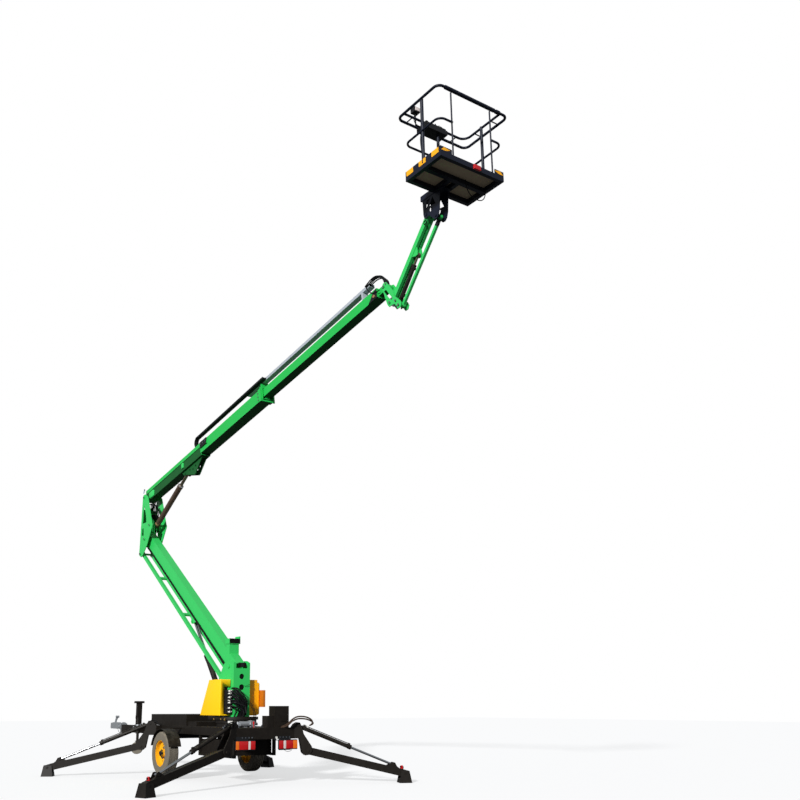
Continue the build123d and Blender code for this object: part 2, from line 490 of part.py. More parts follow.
# Upper boom: root, sleeve, collar, cylinder ears, tray guide
upper = box_tube(-60, SLEEVE_X[0] + 20, ROOT_HALF, ROOT_N[0], ROOT_N[1], WALL)
for sgn in (-1, 1):
    y0, y1 = sorted((sgn * (ROOT_HALF - 2), sgn * STRIP_HALF))
    upper = upper + block(-40, SLEEVE_X[0], y0, y1, STRIP_N[0], STRIP_N[1])
upper = upper + box_tube(SLEEVE_X[0], SLEEVE_X[1], SLEEVE_HALF, SLEEVE_N[0], SLEEVE_N[1], WALL)
collar = block(SLEEVE_X[1] - 130, SLEEVE_X[1] - 20, -SLEEVE_HALF - 12, SLEEVE_HALF + 12, SLEEVE_N[0] - 14, SLEEVE_N[1] + 8)
collar = collar - block(SLEEVE_X[1] - 140, SLEEVE_X[1], -SLEEVE_HALF + 3, SLEEVE_HALF - 3, SLEEVE_N[0] + 3, SLEEVE_N[1] - 3)
upper = upper + collar
lip = block(SLEEVE_X[1] - 34, SLEEVE_X[1] - 18, -SLEEVE_HALF - 30, SLEEVE_HALF + 30, SLEEVE_N[0] - 34, SLEEVE_N[1] + 14)
upper = upper + (lip - block(SLEEVE_X[1] - 60, SLEEVE_X[1], -SLEEVE_HALF + 3, SLEEVE_HALF - 3, SLEEVE_N[0] + 3, SLEEVE_N[1] - 3))
clamp = block(2500, 2760, -SLEEVE_HALF - 22, SLEEVE_HALF + 22, 40, SLEEVE_N[1] - 5) - block(2490, 2770, -SLEEVE_HALF + 3, SLEEVE_HALF - 3, 30, SLEEVE_N[1] - 3)
upper = upper + clamp
vx, vn = UPPER_CYL_EYE
ear = [(vx - 150, ROOT_N[0] + 4), (vx - 50, vn - 20), (vx - 12, vn - 44), (vx + 34, vn - 40), (vx + 385, vn - 172), (vx + 425, vn - 160), (vx + 740, ROOT_N[0] + 4)]
for y0 in (-52.0, 40.0):
    cheek = plate(ear, y0, y0 + 12)
    for dx, dn in ((200, -5), (330, -40), (440, -15)):
        cheek = cheek - across(vx + dx, vn + dn, 22, y0 - 1, y0 + 13)
    upper = upper + cheek
    upper = upper + across(vx, vn, 22, min(y0, y0 * 1.3), max(y0 + 12, (y0 + 12) * 1.3))
upper = upper - block(vx - 210, vx + 70, -38, 38, ROOT_N[0] - 60, ROOT_N[0] + WALL + 1)
open_y, open_n = TRAY_WIDE / 2 + 7, TRAY_HIGH / 2 + 7
guide = block(4600, 4640, CHAIN_Y - open_y - 10, CHAIN_Y + open_y + 10, SLEEVE_N[1] - 4, TRAY_N + open_n + 10)
guide = guide - block(4590, 4650, CHAIN_Y - open_y, CHAIN_Y + open_y, TRAY_N - open_n, TRAY_N + open_n)
pads = block(SLEEVE_X[1] - 90, SLEEVE_X[1] - 10, -40, 40, SLEEVE_N[0] + 3, INNER_N[0] - SEAT)
for sgn in (-1, 1):
    y0, y1 = sorted((sgn * (INNER_HALF + SEAT), sgn * (SLEEVE_HALF - 3)))
    pads = pads + block(SLEEVE_X[1] - 90, SLEEVE_X[1] - 10, y0, y1, 40, 100)
upper = upper + guide + pads - across(0, 0, 30.5, -200, 200)
parts["upper_boom"] = backward(PIN_T, UPPER_ANGLE) * upper

# Upper lift cylinder
upper_long = span(PIN_C, PIN_V)
upper_rise = rise(PIN_C, PIN_V)
line = backward(PIN_C, upper_rise)
parts["upper_barrel"] = line * (barrel(UPPER_CYL_BARREL, UPPER_CYL_R, 30, 46, 70, -1) - across(0, 0, 24.5, -80, 80))
parts["upper_ram"] = line * ram(upper_long, UPPER_CYL_BARREL, 30, 34, 60, 690)

# Inner boom with its head, and the hose tray above it
inner = box_tube(INNER_X[0], INNER_X[1], INNER_HALF, INNER_N[0], INNER_N[1], 5)
head = block(INNER_X[1] - 60, INNER_X[1] + 2, -74, 74, INNER_N[0] + 5, INNER_N[1] - 5) + block(INNER_X[1], TIP_PIN[0], -50, 50, 22, 118)
head = head + across(TIP_PIN[0], TIP_PIN[1], 48, -50, 50) - across(TIP_PIN[0], TIP_PIN[1], 20.5, -90, 90)
slider = block(INNER_X[0], INNER_X[0] + 120, -50, 50, INNER_N[1] - 3, SLEEVE_N[1] - WALL - SEAT)
parts["inner_boom"] = backward(PIN_T, UPPER_ANGLE) * (inner + head + slider)
half, high = TRAY_WIDE / 2, TRAY_HIGH / 2
tray = box_tube(TRAY_X[0], TRAY_X[1], half, TRAY_N - high, TRAY_N + high, TRAY_WALL)
foot = block(TRAY_X[1] - 200, TRAY_X[1] - 160, -half, half, INNER_N[1], TRAY_N - high + 2)
foot = foot + block(TRAY_X[1] - 260, TRAY_X[1] - 100, -100, 36, INNER_N[1], INNER_N[1] + 10)
parts["hose_tray"] = backward(PIN_T, UPPER_ANGLE) * Pos(0, CHAIN_Y, 0) * (tray + foot)

# Hose chain: upper run inside the tray, bend at the rear
half, deep = CHAIN_WIDE / 2, CHAIN_HIGH / 2
high = TRAY_N - TRAY_HIGH / 2 + TRAY_WALL + SEAT + deep
low = ROOT_N[1] + SEAT + deep
turn = (high - low) / 2
run = block(CHAIN_BEND, CHAIN_END, -half, half, high - deep, high + deep)
tail = block(CHAIN_BEND, CHAIN_BEND + 120, -half, half, low - deep, low + deep)
bend = across(CHAIN_BEND, low + turn, turn + deep, -half, half)
bend = bend - across(CHAIN_BEND, low + turn, turn - deep, -half - 1, half + 1)
bend = bend - block(CHAIN_BEND, CHAIN_BEND + 400, -half - 1, half + 1, 0, TRAY_N + 200)
parts["hose_chain"] = backward(PIN_T, UPPER_ANGLE) * Pos(0, CHAIN_Y, 0) * (run + tail + bend)

# Tip link that keeps the jib level
qx, qz = PIN_Q
jx, jz = PIN_J
sx, sz = PIN_S
outline = [(qx + 50, qz + 10), (qx + 20, qz + 55), (qx - 40, qz + 50), (jx - 60, jz + 150), (jx - 90, jz + 60), (sx - 20, sz + 60), (sx - 48, sz + 10), (sx - 30, sz - 40), (sx + 25, sz - 45), (sx + 90, sz + 50), (jx - 40, jz - 50), (jx + 20, jz - 55), (jx + 55, jz - 10)]
window = [(qx - 40, qz - 60), (qx + 5, qz - 70), (jx + 15, jz + 60), (jx - 40, jz + 60)]
tip = None
for y0 in (-68.0, 58.0):
    cheek = plate(outline, y0, y0 + 10) - plate(window, y0 - 1, y0 + 11)
    tip = cheek if tip is None else tip + cheek
for (px, pz), r in ((PIN_Q, 20), (PIN_J, 20), (PIN_S, 15), (PIN_G, 15)):
    tip = tip + across(px, pz, r, -80, 80)
parts["tip_link"] = tip

# Jib arm: two tubes side by side, with ears for its cylinder
arm = None
for y0 in (-50.0, 10.0):
    one = block(0, JIB_LONG, y0, y0 + 40, -35, 35) - block(30, JIB_LONG - 30, y0 + 4, y0 + 36, -31, 31)
    one = one + across(0, 0, 36, y0, y0 + 40) + across(JIB_LONG, 0, 36, y0, y0 + 40)
    arm = one if arm is None else arm + one
for x in (90.0, 600.0, 1080.0):
    arm = arm + block(x - 20, x + 20, -12, 12, -30, 30)
hx, hn = JIB_CYL_EYE[0], -JIB_CYL_EYE[1]
for y0 in (-42.0, 30.0):
    arm = arm + plate([(hx - 60, -30), (hx - 34, hn - 10), (hx, hn - 32), (hx + 34, hn - 10), (hx + 80, -30)], y0, y0 + 12)
arm = arm - across(0, 0, 20.5, -90, 90) - across(JIB_LONG, 0, 20.5, -90, 90)
parts["jib_arm"] = backward(PIN_J, JIB_ANGLE) * arm
rod = block(0, JIB_LONG, -18, 18, -20, 20) + across(0, 0, 30, -18, 18) + across(JIB_LONG, 0, 30, -18, 18)
rod = rod - across(0, 0, 15.5, -90, 90) - across(JIB_LONG, 0, 15.5, -90, 90)
parts["jib_rod"] = backward(PIN_S, JIB_ANGLE) * rod
jib_long = span(PIN_G, PIN_H)
jib_rise = rise(PIN_G, PIN_H)
line = backward(PIN_G, jib_rise)
parts["jib_barrel"] = line * (barrel(JIB_CYL_BARREL, 28, 15, 30, 44, -1) - across(0, 0, 15.5, -60, 60))
parts["jib_ram"] = line * ram(jib_long, JIB_CYL_BARREL, 15, 22, 40, 150)

# Platform support under the basket
kx, kz = PIN_K
ux, uz = PIN_U
top = FLOOR_Z[0]
outline = [(kx + 60, top), (kx + 50, kz + 20), (kx + 40, kz - 25), (kx + 5, kz - 46), (kx - 60, kz - 42), (ux + 60, uz - 5), (ux + 30, uz - 38), (ux - 15, uz - 42), (ux - 48, uz - 10), (ux - 70, uz + 60), (ux - 90, top)]
stay = block(kx - 330, kx + 62, -78, 78, top - 12, top)
for y0 in (-72.0, 62.0):
    cheek = plate(outline, y0, y0 + 10) - across(kx - 95, kz + 30, 30, y0 - 1, y0 + 11)
    cheek = cheek - plate([(kx - 20, top - 40), (kx + 5, kz + 60), (kx - 90, top - 40)], y0 - 1, y0 + 11)
    cheek = cheek - plate([(kx - 130, top - 40), (kx - 60, kz + 85), (kx - 190, kz + 60)], y0 - 1, y0 + 11)
    stay = stay + cheek
stay = stay + across(kx, kz, 20, -84, 84) + across(ux, uz, 15, -84, 84)
parts["platform_support"] = stay

# Basket floor with toe boards
x0, x1 = FLOOR_X
z0, z1 = FLOOR_Z
half = FLOOR_HALF
floor = block(x0, x1, -half, half, z0, z1) - block(x0 + 50, x1 - 50, -half + 50, half - 50, z0 - 1, z1 - 8)
mid = (x0 + x1) / 2
floor = floor + block(mid - 28, mid + 28, -half + 10, half - 10, z0, z1 - 6) + block(mid, x1 - 10, -90, -40, z0, z1 - 6) + block(mid, x1 - 10, 40, 90, z0, z1 - 6)
for sgn in (-1, 1):
    y0, y1 = sorted((sgn * half, sgn * (half - 6)))
    floor = floor + block(x0, x1, y0, y1, z0, TOE_TOP)
floor = floor + block(x1 - 6, x1, -half, half, z0, TOE_TOP) + block(x0, x0 + 6, 330, half, z0, TOE_TOP) + block(x0, x0 + 6, -half, -360, z0, TOE_TOP)
floor = floor + block(x1 - 10, -4870, -72, 72, z0, z1)
floor = floor + block(x0 - 14, x0, -100, -10, 7410, 7440)
for py, sgn in ((half, 1), (-half, -1)):
    floor = floor - bar((mid, sgn * (half - 16), z1), (mid, sgn * (half - 16), RAIL_Z), 21.5)
floor = floor - bar((x1 - 14, -30, z1), (x1 - 14, -30, RAIL_Z), 19.5)
parts["basket_floor"] = floor

# Basket rails
g = GUARD_OUT
rails = pipe([(x0, GATE_Y[1], RAIL_Z), (x0, half, RAIL_Z), (x1 + g, half, RAIL_Z), (x1 + g, -half - g, RAIL_Z), (x0, -half - g, RAIL_Z), (x0, GATE_Y[0] - 40, RAIL_Z)], RAIL_R, 80)
rails = rails + pipe([(x1, half, RAIL_Z), (x1, -half, RAIL_Z), (x0, -half, RAIL_Z)], RAIL_R - 1.5, 110)
rails = rails + pipe([(x0, 302, MID_Z), (x0, half, MID_Z), (x1, half, MID_Z), (x1, -half, MID_Z), (x0, -half, MID_Z), (x0, -333, MID_Z)], 14, 90)
posts = (((x0 + x1) / 2, half - 16, 21.0), (x1 - 14, -30.0, 19.0), ((x0 + x1) / 2, 16 - half, 19.0))
for px, py, r in posts:
    rails = rails + bar((px, py, z1), (px, py, RAIL_Z), r)
for py in (302.0, -333.0):
    rails = rails + bar((x0 + 11, py, z1), (x0 + 11, py, RAIL_Z - GATE_R - 8), 10)
for px, py, dx, dy in ((x1, 370, g, 0), (x1, -360, g, 0), (x1 - 180, -half, 0, -g), (x1 - 480, -half, 0, -g)):
    rails = rails + bar((px, py, RAIL_Z), (px + dx, py + dy, RAIL_Z), 8)
for sgn in (-1, 1):
    e0, e1 = sorted((x0 + sgn * 14.4, x0 + sgn * 22))
    rails = rails + block(e0, e1, GATE_Y[0] - 50, GATE_Y[0] + 15, RAIL_Z - 14, RAIL_Z + 14)
hinge = Pos(x0, GATE_Y[0], RAIL_Z) * Rot(0, 90, 0)
rails = rails - hinge * Cylinder(8 + SEAT, 60)
parts["basket_rails"] = rails

# Gate bar that lifts about its right end
gy0, gy1 = GATE_Y
gate = bar((x0, gy0 + 40, RAIL_Z), (x0, gy1 - 0.6, RAIL_Z), GATE_R) + block(x0 - 14, x0 + 14, gy0 - 30, gy0 + 45, RAIL_Z - 14, RAIL_Z + 14)
gate = gate + hinge * Cylinder(8, 50)
parts["gate_bar"] = gate

# Platform console and work lamp
console = block(-5195, -5020, -140, 226, 8258, 8320) + block(-5182, -5090, -125, 210, 8315, 8348)
for y in (-80.0, 150.0):
    console = console + block(x1 - 26, x1 + 26, y - 16, y + 16, 8318, RAIL_Z + 28)
console = console - across(x1, RAIL_Z, RAIL_R - 1.2, -300, 300) - bar((x1 - 14, -30, z1), (x1 - 14, -30, RAIL_Z), 19.3)
lamp = bar((-5090, 226, 8300), (-5090, 300, 8300), 9) + bar((-5090, 300, 8295), (-5090, 300, 8480), 8) + block(-5130, -5050, 255, 345, 8470, 8535)
parts["platform_console"] = console + lamp

for name, solid in parts.items():
    solid.label = name

os.makedirs("parts", exist_ok=True)
for name, solid in parts.items():
    export_step(solid, "parts/" + name + ".step")

print(len(parts), "nodes")
for label, point in (("B", ELBOW_B), ("T", PIN_T), ("C", PIN_C), ("R", PIN_R), ("rod", PIN_ROD), ("L", PIN_L), ("V", PIN_V), ("Q", PIN_Q), ("J", PIN_J), ("K", PIN_K), ("S", PIN_S), ("U", PIN_U), ("G", PIN_G), ("H", PIN_H)):
    print(label, round(point[0], 1), round(point[1], 1))
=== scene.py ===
"""Towable articulated boom lift on its outriggers: finishes, hoses, drag chain, tread, lamps and stage.

+X points forward to the tow coupling, +Y to the machine's left, +Z up, in metres.
"""

import json
import math

import bmesh
import bpy
from mathutils import Matrix, Vector

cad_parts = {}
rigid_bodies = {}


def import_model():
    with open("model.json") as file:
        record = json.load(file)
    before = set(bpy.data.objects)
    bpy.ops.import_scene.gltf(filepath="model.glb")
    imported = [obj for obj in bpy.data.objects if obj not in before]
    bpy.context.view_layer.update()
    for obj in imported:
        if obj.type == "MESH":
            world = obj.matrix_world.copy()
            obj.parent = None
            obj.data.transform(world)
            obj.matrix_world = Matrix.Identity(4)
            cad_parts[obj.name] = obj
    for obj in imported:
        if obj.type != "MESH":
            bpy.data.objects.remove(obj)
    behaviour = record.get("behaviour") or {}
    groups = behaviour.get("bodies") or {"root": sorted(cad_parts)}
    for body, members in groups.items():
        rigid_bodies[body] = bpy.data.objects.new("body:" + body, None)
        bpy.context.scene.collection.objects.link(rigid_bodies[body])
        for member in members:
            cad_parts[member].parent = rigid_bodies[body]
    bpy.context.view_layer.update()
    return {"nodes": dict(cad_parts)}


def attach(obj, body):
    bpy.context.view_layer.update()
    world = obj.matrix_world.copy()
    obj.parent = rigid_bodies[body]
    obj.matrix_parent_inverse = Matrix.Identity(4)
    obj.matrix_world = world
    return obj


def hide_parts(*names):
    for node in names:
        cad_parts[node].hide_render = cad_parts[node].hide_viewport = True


bl_info = {
    "name": "Towable boom lift",
    "version": (1, 0, 0),
    "blender": (4, 2, 0),
    "location": "View3D > Sidebar > Boom Lift",
    "description": "Builds the finishes, hoses and fittings of a towable boom lift around its packed model",
    "category": "Object",
}

for spare in list(bpy.data.objects):
    bpy.data.objects.remove(spare)
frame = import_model()
NODES = frame["nodes"]

# How steep each boom stands at rest
BOOM_ANGLE = math.radians(35.2)
UPPER_ANGLE = math.radians(9.0)
JIB_ANGLE = math.radians(48.8)

# Pins on the machine's middle plane: x and z in metres
PIN_P = (0.0, 1.75)  # turret to lower boom
PIN_B = (3.718, 4.3728)  # lower boom to elbow link
PIN_R = (3.905, 4.0998)  # level rods to elbow link
PIN_C = (3.49, 4.6228)  # elbow link to upper cylinder
PIN_T = (3.83, 5.2428)  # elbow link to upper boom
PIN_V = (2.1075, 5.3749)  # upper cylinder to upper boom
PIN_Q = (-4.0704, 6.5649)  # inner boom to tip link
PIN_J = (-4.1904, 6.2879)  # tip link to jib arm
PIN_S = (-4.3754, 6.1829)  # tip link to jib rod
PIN_G = (-4.3154, 6.2639)  # tip link to jib cylinder


def on_plane(pin):
    """A pin's place on the machine's middle plane."""
    return Vector((pin[0], 0.0, pin[1]))


def lower(x, y, n):
    """A point on the lower boom: x along it from its turret pin, n above its axis."""
    c, s = math.cos(BOOM_ANGLE), math.sin(BOOM_ANGLE)
    return Vector((PIN_P[0] + x * c - n * s, y, PIN_P[1] + x * s + n * c))


def upper(x, y, n):
    """A point on the upper boom: x along it from the elbow pin, n above its axis."""
    c, s = math.cos(UPPER_ANGLE), math.sin(UPPER_ANGLE)
    return Vector((PIN_T[0] - x * c + n * s, y, PIN_T[1] + x * s + n * c))


def jib(x, y, n):
    """A point on the jib arm: x along it from the tip link, n above its axis."""
    c, s = math.cos(JIB_ANGLE), math.sin(JIB_ANGLE)
    return Vector((PIN_J[0] - x * c + n * s, y, PIN_J[1] + x * s + n * c))


# The upper boom: where its sleeve starts along it, and its bright strip and its underside from its axis; the root's
# sides below the strip and the underside take painted shade
SLEEVE_START = 2.48
STRIP_FOOT = 0.083
UNDERSIDE = -0.082

# Outriggers: pivot x and y, turn of the leg from sideways in degrees, side
CORNERS = {
    "front_left": (1.915, 0.786, 29.0, 1),
    "front_right": (1.915, 0.786, 29.0, -1),
    "rear_left": (-0.96, 0.705, -22.5, 1),
    "rear_right": (-0.96, 0.705, -22.5, -1),
}


def leg(corner, s, t, z):
    """A point in a leg's plane: s out from its pivot, t to the side, z above the ground."""
    x, y, turn, side = CORNERS[corner]
    a = math.radians(side * (90 - turn))
    d = Vector((math.cos(a), math.sin(a), 0.0))
    w = Vector((-math.sin(a), math.cos(a), 0.0))
    return Vector((x, side * y, 0.0)) + d * s + w * t + Vector((0.0, 0.0, z))


# Colours


def linear(code):
    """A hex sRGB colour as linear red, green, blue and alpha."""
    out = []
    for k in (1, 3, 5):
        c = int(code[k:k + 2], 16) / 255
        out.append(c / 12.92 if c <= 0.04045 else ((c + 0.055) / 1.055) ** 2.4)
    return out + [1.0]


def add(tree, kind, inputs=None, **settings):
    """A node with its settings, and its inputs set or linked; a node as input stands for its first output."""
    made = tree.nodes.new(kind)
    for name, value in settings.items():
        setattr(made, name, value)
    for name, value in (inputs or {}).items():
        plug = made.inputs[name]
        if isinstance(value, bpy.types.Node):
            value = value.outputs[0]
        if isinstance(value, bpy.types.NodeSocket):
            tree.links.new(value, plug)
        else:
            plug.default_value = value
    return made


def blank(name):
    """A material and its tree, emptied."""
    mat = bpy.data.materials.new(name)
    mat.use_nodes = True
    mat.node_tree.nodes.clear()
    return mat, mat.node_tree


FINISHES = {}


def coated(
    name, code, dirt="#8E8675", rough=0.38, coat=0.0, metal=0.0, spec=0.35, dust=0.25, grain=260.0, peel=0.02,
    shade=0.12,
):
    """A painted, plated or moulded surface: tone that drifts over a hand's breadth, dust that lies on what faces
    up, a fine peel in the film, and a gloss that dulls where the dust lies."""
    mat, tree = blank(name)
    place = add(tree, "ShaderNodeTexCoord")

    def noise(scale, detail, roughness):
        """Noise in the piece's own space."""
        settings = {"Scale": scale, "Detail": detail, "Roughness": roughness}
        return add(tree, "ShaderNodeTexNoise", {"Vector": place.outputs["Object"], **settings})

    drift = noise(3.5, 6.0, 0.6)
    fine = noise(grain, 3.0, 0.5)
    base = linear(code)
    deep = [v * (1 - shade) for v in base[:3]] + [1.0]
    pale = [min(v * (1 + shade), 1.0) for v in base[:3]] + [1.0]
    tone = add(tree, "ShaderNodeMix", {0: drift, 6: deep, 7: pale}, data_type="RGBA")
    surface = add(tree, "ShaderNodeNewGeometry")
    parts = add(tree, "ShaderNodeSeparateXYZ", {"Vector": surface.outputs["Normal"]})
    lying = add(tree, "ShaderNodeMapRange", {
        "Value": parts.outputs["Z"], "From Min": 0.2, "From Max": 1.0, "To Min": 0.08, "To Max": 1.0,
    })
    patch = noise(14.0, 8.0, 0.7)
    spread = add(tree, "ShaderNodeMapRange", {
        "Value": patch, "From Min": 0.42, "From Max": 0.72, "To Min": 0.0, "To Max": dust,
    })
    film = add(tree, "ShaderNodeMath", {0: lying, 1: spread}, operation="MULTIPLY")
    colour = add(tree, "ShaderNodeMix", {0: film, 6: tone.outputs[2], 7: linear(dirt)}, data_type="RGBA")
    dull = add(tree, "ShaderNodeMapRange", {"Value": fine, "To Min": rough - 0.05, "To Max": rough + 0.05})
    gloss = add(tree, "ShaderNodeMath", {0: dull, 1: film}, operation="ADD")
    bump = add(tree, "ShaderNodeBump", {"Height": fine, "Strength": 0.25, "Distance": peel * 0.01})
    shader = add(tree, "ShaderNodeBsdfPrincipled", {
        "Base Color": colour.outputs[2],
        "Roughness": gloss,
        "Metallic": metal,
        "Normal": bump,
        "Specular IOR Level": spec,
        "Coat Weight": coat,
        "Coat Roughness": 0.12,
    })
    add(tree, "ShaderNodeOutputMaterial", {"Surface": shader})
    FINISHES[name] = mat


class LiftColours(bpy.types.PropertyGroup):
    """Colours and finish of the machine."""

    boom_green: bpy.props.StringProperty(
        name="Boom green", description="Enamel of the booms, links and jib, as sRGB hex", default="#2FBF5B",
    )
    # The boom green painted darker: painted shade for the flatter light on the upper and inner boom
    boom_green_shaded: bpy.props.StringProperty(
        name="Upper boom green", description="Enamel of the upper and inner boom, as sRGB hex", default="#1FB14A",
    )
    cover_yellow: bpy.props.StringProperty(
        name="Cover yellow", description="Gel coat of the turret covers, as sRGB hex", default="#FFC60A",
    )
    frame_black: bpy.props.StringProperty(
        name="Frame black", description="Powder coat of the chassis and legs, as sRGB hex", default="#17130F",
    )
    platform_black: bpy.props.StringProperty(
        name="Platform black", description="Powder coat of the platform, as sRGB hex", default="#121726",
    )
    stripe_orange: bpy.props.StringProperty(
        name="Stripe orange", description="Warning stripes of the toe boards, as sRGB hex", default="#F7AC17",
    )
    dust: bpy.props.FloatProperty(
        name="Dust", description="How much road dust lies on what faces up", default=0.25, min=0.0, max=1.0,
        subtype="FACTOR",
    )


class LiftSizes(bpy.types.PropertyGroup):
    """Sizes of the fittings that the scene adds."""

    chain_pitch: bpy.props.FloatProperty(
        name="Chain pitch", description="Length of one drag chain link", default=0.055, min=0.02, max=0.12,
        unit="LENGTH",
    )
    bolt: bpy.props.FloatProperty(
        name="Bolt head", description="Width of the hexagon bolt heads", default=0.024, min=0.01, max=0.05,
        unit="LENGTH",
    )
    tread_lugs: bpy.props.IntProperty(
        name="Tread lugs", description="Number of tread lugs round one tyre", default=56, min=20, max=120,
    )


# Making meshes


def linked(name, data, body=None):
    """A new object in the scene; it rides on the body that is named."""
    obj = bpy.data.objects.new(name, data)
    bpy.context.scene.collection.objects.link(obj)
    if body:
        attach(obj, body)
    return obj


def evaluated(obj):
    """An object's mesh with its modifiers or its bevel applied."""
    graph = bpy.context.evaluated_depsgraph_get()
    return bpy.data.meshes.new_from_object(obj.evaluated_get(graph))


def finish_mesh(name, bm, finishes, body, smooth=40.0, replaces=()):
    """Turns a bmesh into a piece that rides on a body; its finishes are named in the order of their indices."""
    bmesh.ops.remove_doubles(bm, verts=bm.verts, dist=1e-5)
    bmesh.ops.recalc_face_normals(bm, faces=bm.faces)
    mesh = bpy.data.meshes.new(name)
    bm.to_mesh(mesh)
    bm.free()
    for finish in finishes.split():
        mesh.materials.append(FINISHES[finish])
    for poly in mesh.polygons:
        poly.use_smooth = True
    mesh.set_sharp_from_angle(angle=math.radians(smooth))
    obj = linked(name, mesh, body)
    if replaces:
        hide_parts(*replaces)
    return obj


def put_box(bm, low, high, mat=0, bevel=0.0):
    """A box between two corners, with its edges rounded if asked."""
    low, high = Vector(low), Vector(high)
    mid, size = (low + high) / 2, high - low
    made = bmesh.ops.create_cube(bm, size=1.0, matrix=Matrix.Translation(mid) @ Matrix.Diagonal((*size, 1)))
    verts = made["verts"]
    if bevel:
        edges = list({e for v in verts for e in v.link_edges})
        made = bmesh.ops.bevel(
            bm, geom=edges, offset=bevel, segments=2, affect="EDGES", profile=0.7, clamp_overlap=True,
        )
        verts = list({v for f in made["faces"] for v in f.verts} | {v for v in verts if v.is_valid})
    for f in {f for v in verts for f in v.link_faces}:
        f.material_index = mat
    return verts


def put_rod(bm, p, q, r, mat=0, sides=20, r2=None):
    """A round bar between two points, with capped ends, tapering to a second radius if one is given."""
    p, q = Vector(p), Vector(q)
    v = q - p
    turn = v.to_track_quat("Z", "Y").to_matrix().to_4x4()
    made = bmesh.ops.create_cone(
        bm, cap_ends=True, segments=sides, radius1=r, radius2=r if r2 is None else r2, depth=v.length,
        matrix=Matrix.Translation((p + q) / 2) @ turn,
    )
    for f in {f for v in made["verts"] for f in v.link_faces}:
        f.material_index = mat
    return made["verts"]


def put_prism(bm, outline, y0, y1, mat=0, bevel=0.0, segments=3):
    """A plate or moulding with its outline in XZ, from y0 to y1, with its edges rounded if a bevel is given."""
    near = [bm.verts.new((x, y0, z)) for x, z in outline]
    far = [bm.verts.new((x, y1, z)) for x, z in outline]
    count = len(outline)
    faces = [bm.faces.new(near), bm.faces.new(list(reversed(far)))]
    for k in range(count):
        faces.append(bm.faces.new((near[k], far[k], far[(k + 1) % count], near[(k + 1) % count])))
    bmesh.ops.recalc_face_normals(bm, faces=faces)
    if bevel:
        edges = list({e for f in faces for e in f.edges})
        made = bmesh.ops.bevel(
            bm, geom=edges, offset=bevel, segments=segments, affect="EDGES", profile=0.5, clamp_overlap=True,
        )
        faces = list({f for v in near + far if v.is_valid for f in v.link_faces} | set(made["faces"]))
    for f in faces:
        if f.is_valid:
            f.material_index = mat


def carve(obj, low, high):
    """Cuts a box out of a piece."""
    bm = bmesh.new()
    put_box(bm, low, high)
    mesh = bpy.data.meshes.new("cutter")
    bm.to_mesh(mesh)
    bm.free()
    cutter = linked("cutter", mesh)
    mod = obj.modifiers.new("Cut", "BOOLEAN")
    mod.operation = "DIFFERENCE"
    mod.solver = "EXACT"
    mod.object = cutter
    cut = evaluated(obj)
    obj.modifiers.remove(mod)
    obj.data = cut
    bpy.data.objects.remove(cutter)


def hoses(name, routes, body, finish="hose_rubber"):
    """A bundle of hoses, each a width and the points it passes, as one piece."""
    made = [tube(name + str(k), width, body, points, finish) for k, (width, points) in enumerate(routes)]
    return joined(name, made, body)


def ring(place, radius, start=0.0):
    """Points round a circle and back to its start, from a function that places two offsets."""
    angles = [2 * math.pi * k / 8 + start for k in range(9)]
    return [place(radius * math.cos(a), radius * math.sin(a)) for a in angles]


def tube(name, width, body, points, finish="hose_rubber"):
    """A hose or bar that follows a smooth curve through its control points."""
    curve = bpy.data.curves.new(name, "CURVE")
    curve.dimensions = "3D"
    curve.bevel_depth = width / 2
    curve.bevel_resolution = 4
    curve.use_fill_caps = True
    spline = curve.splines.new("NURBS")
    spline.points.add(len(points) - 1)
    for point, place in zip(spline.points, points):
        point.co = (*place, 1.0)
    spline.order_u = min(4, len(points))
    spline.use_endpoint_u = True
    spline.resolution_u = 8
    holder = linked(name + "_line", curve)
    mesh = evaluated(holder)
    mesh.name = name
    bpy.data.objects.remove(holder)
    mesh.materials.clear()
    mesh.materials.append(FINISHES[finish])
    for poly in mesh.polygons:
        poly.use_smooth = True
    return linked(name, mesh, body)


def joined(name, objs, body):
    """Several finished pieces as one, with their materials kept."""
    bm = bmesh.new()
    mats = []
    for o in objs:
        start = len(bm.faces)
        bm.from_mesh(o.data)
        bm.faces.ensure_lookup_table()
        shift = []
        for m in o.data.materials:
            if m not in mats:
                mats.append(m)
            shift.append(mats.index(m))
        for f in bm.faces[start:]:
            f.material_index = shift[f.material_index] if shift else 0
        bpy.data.objects.remove(o)
    mesh = bpy.data.meshes.new(name)
    bm.to_mesh(mesh)
    bm.free()
    for m in mats:
        mesh.materials.append(m)
    return linked(name, mesh, body)


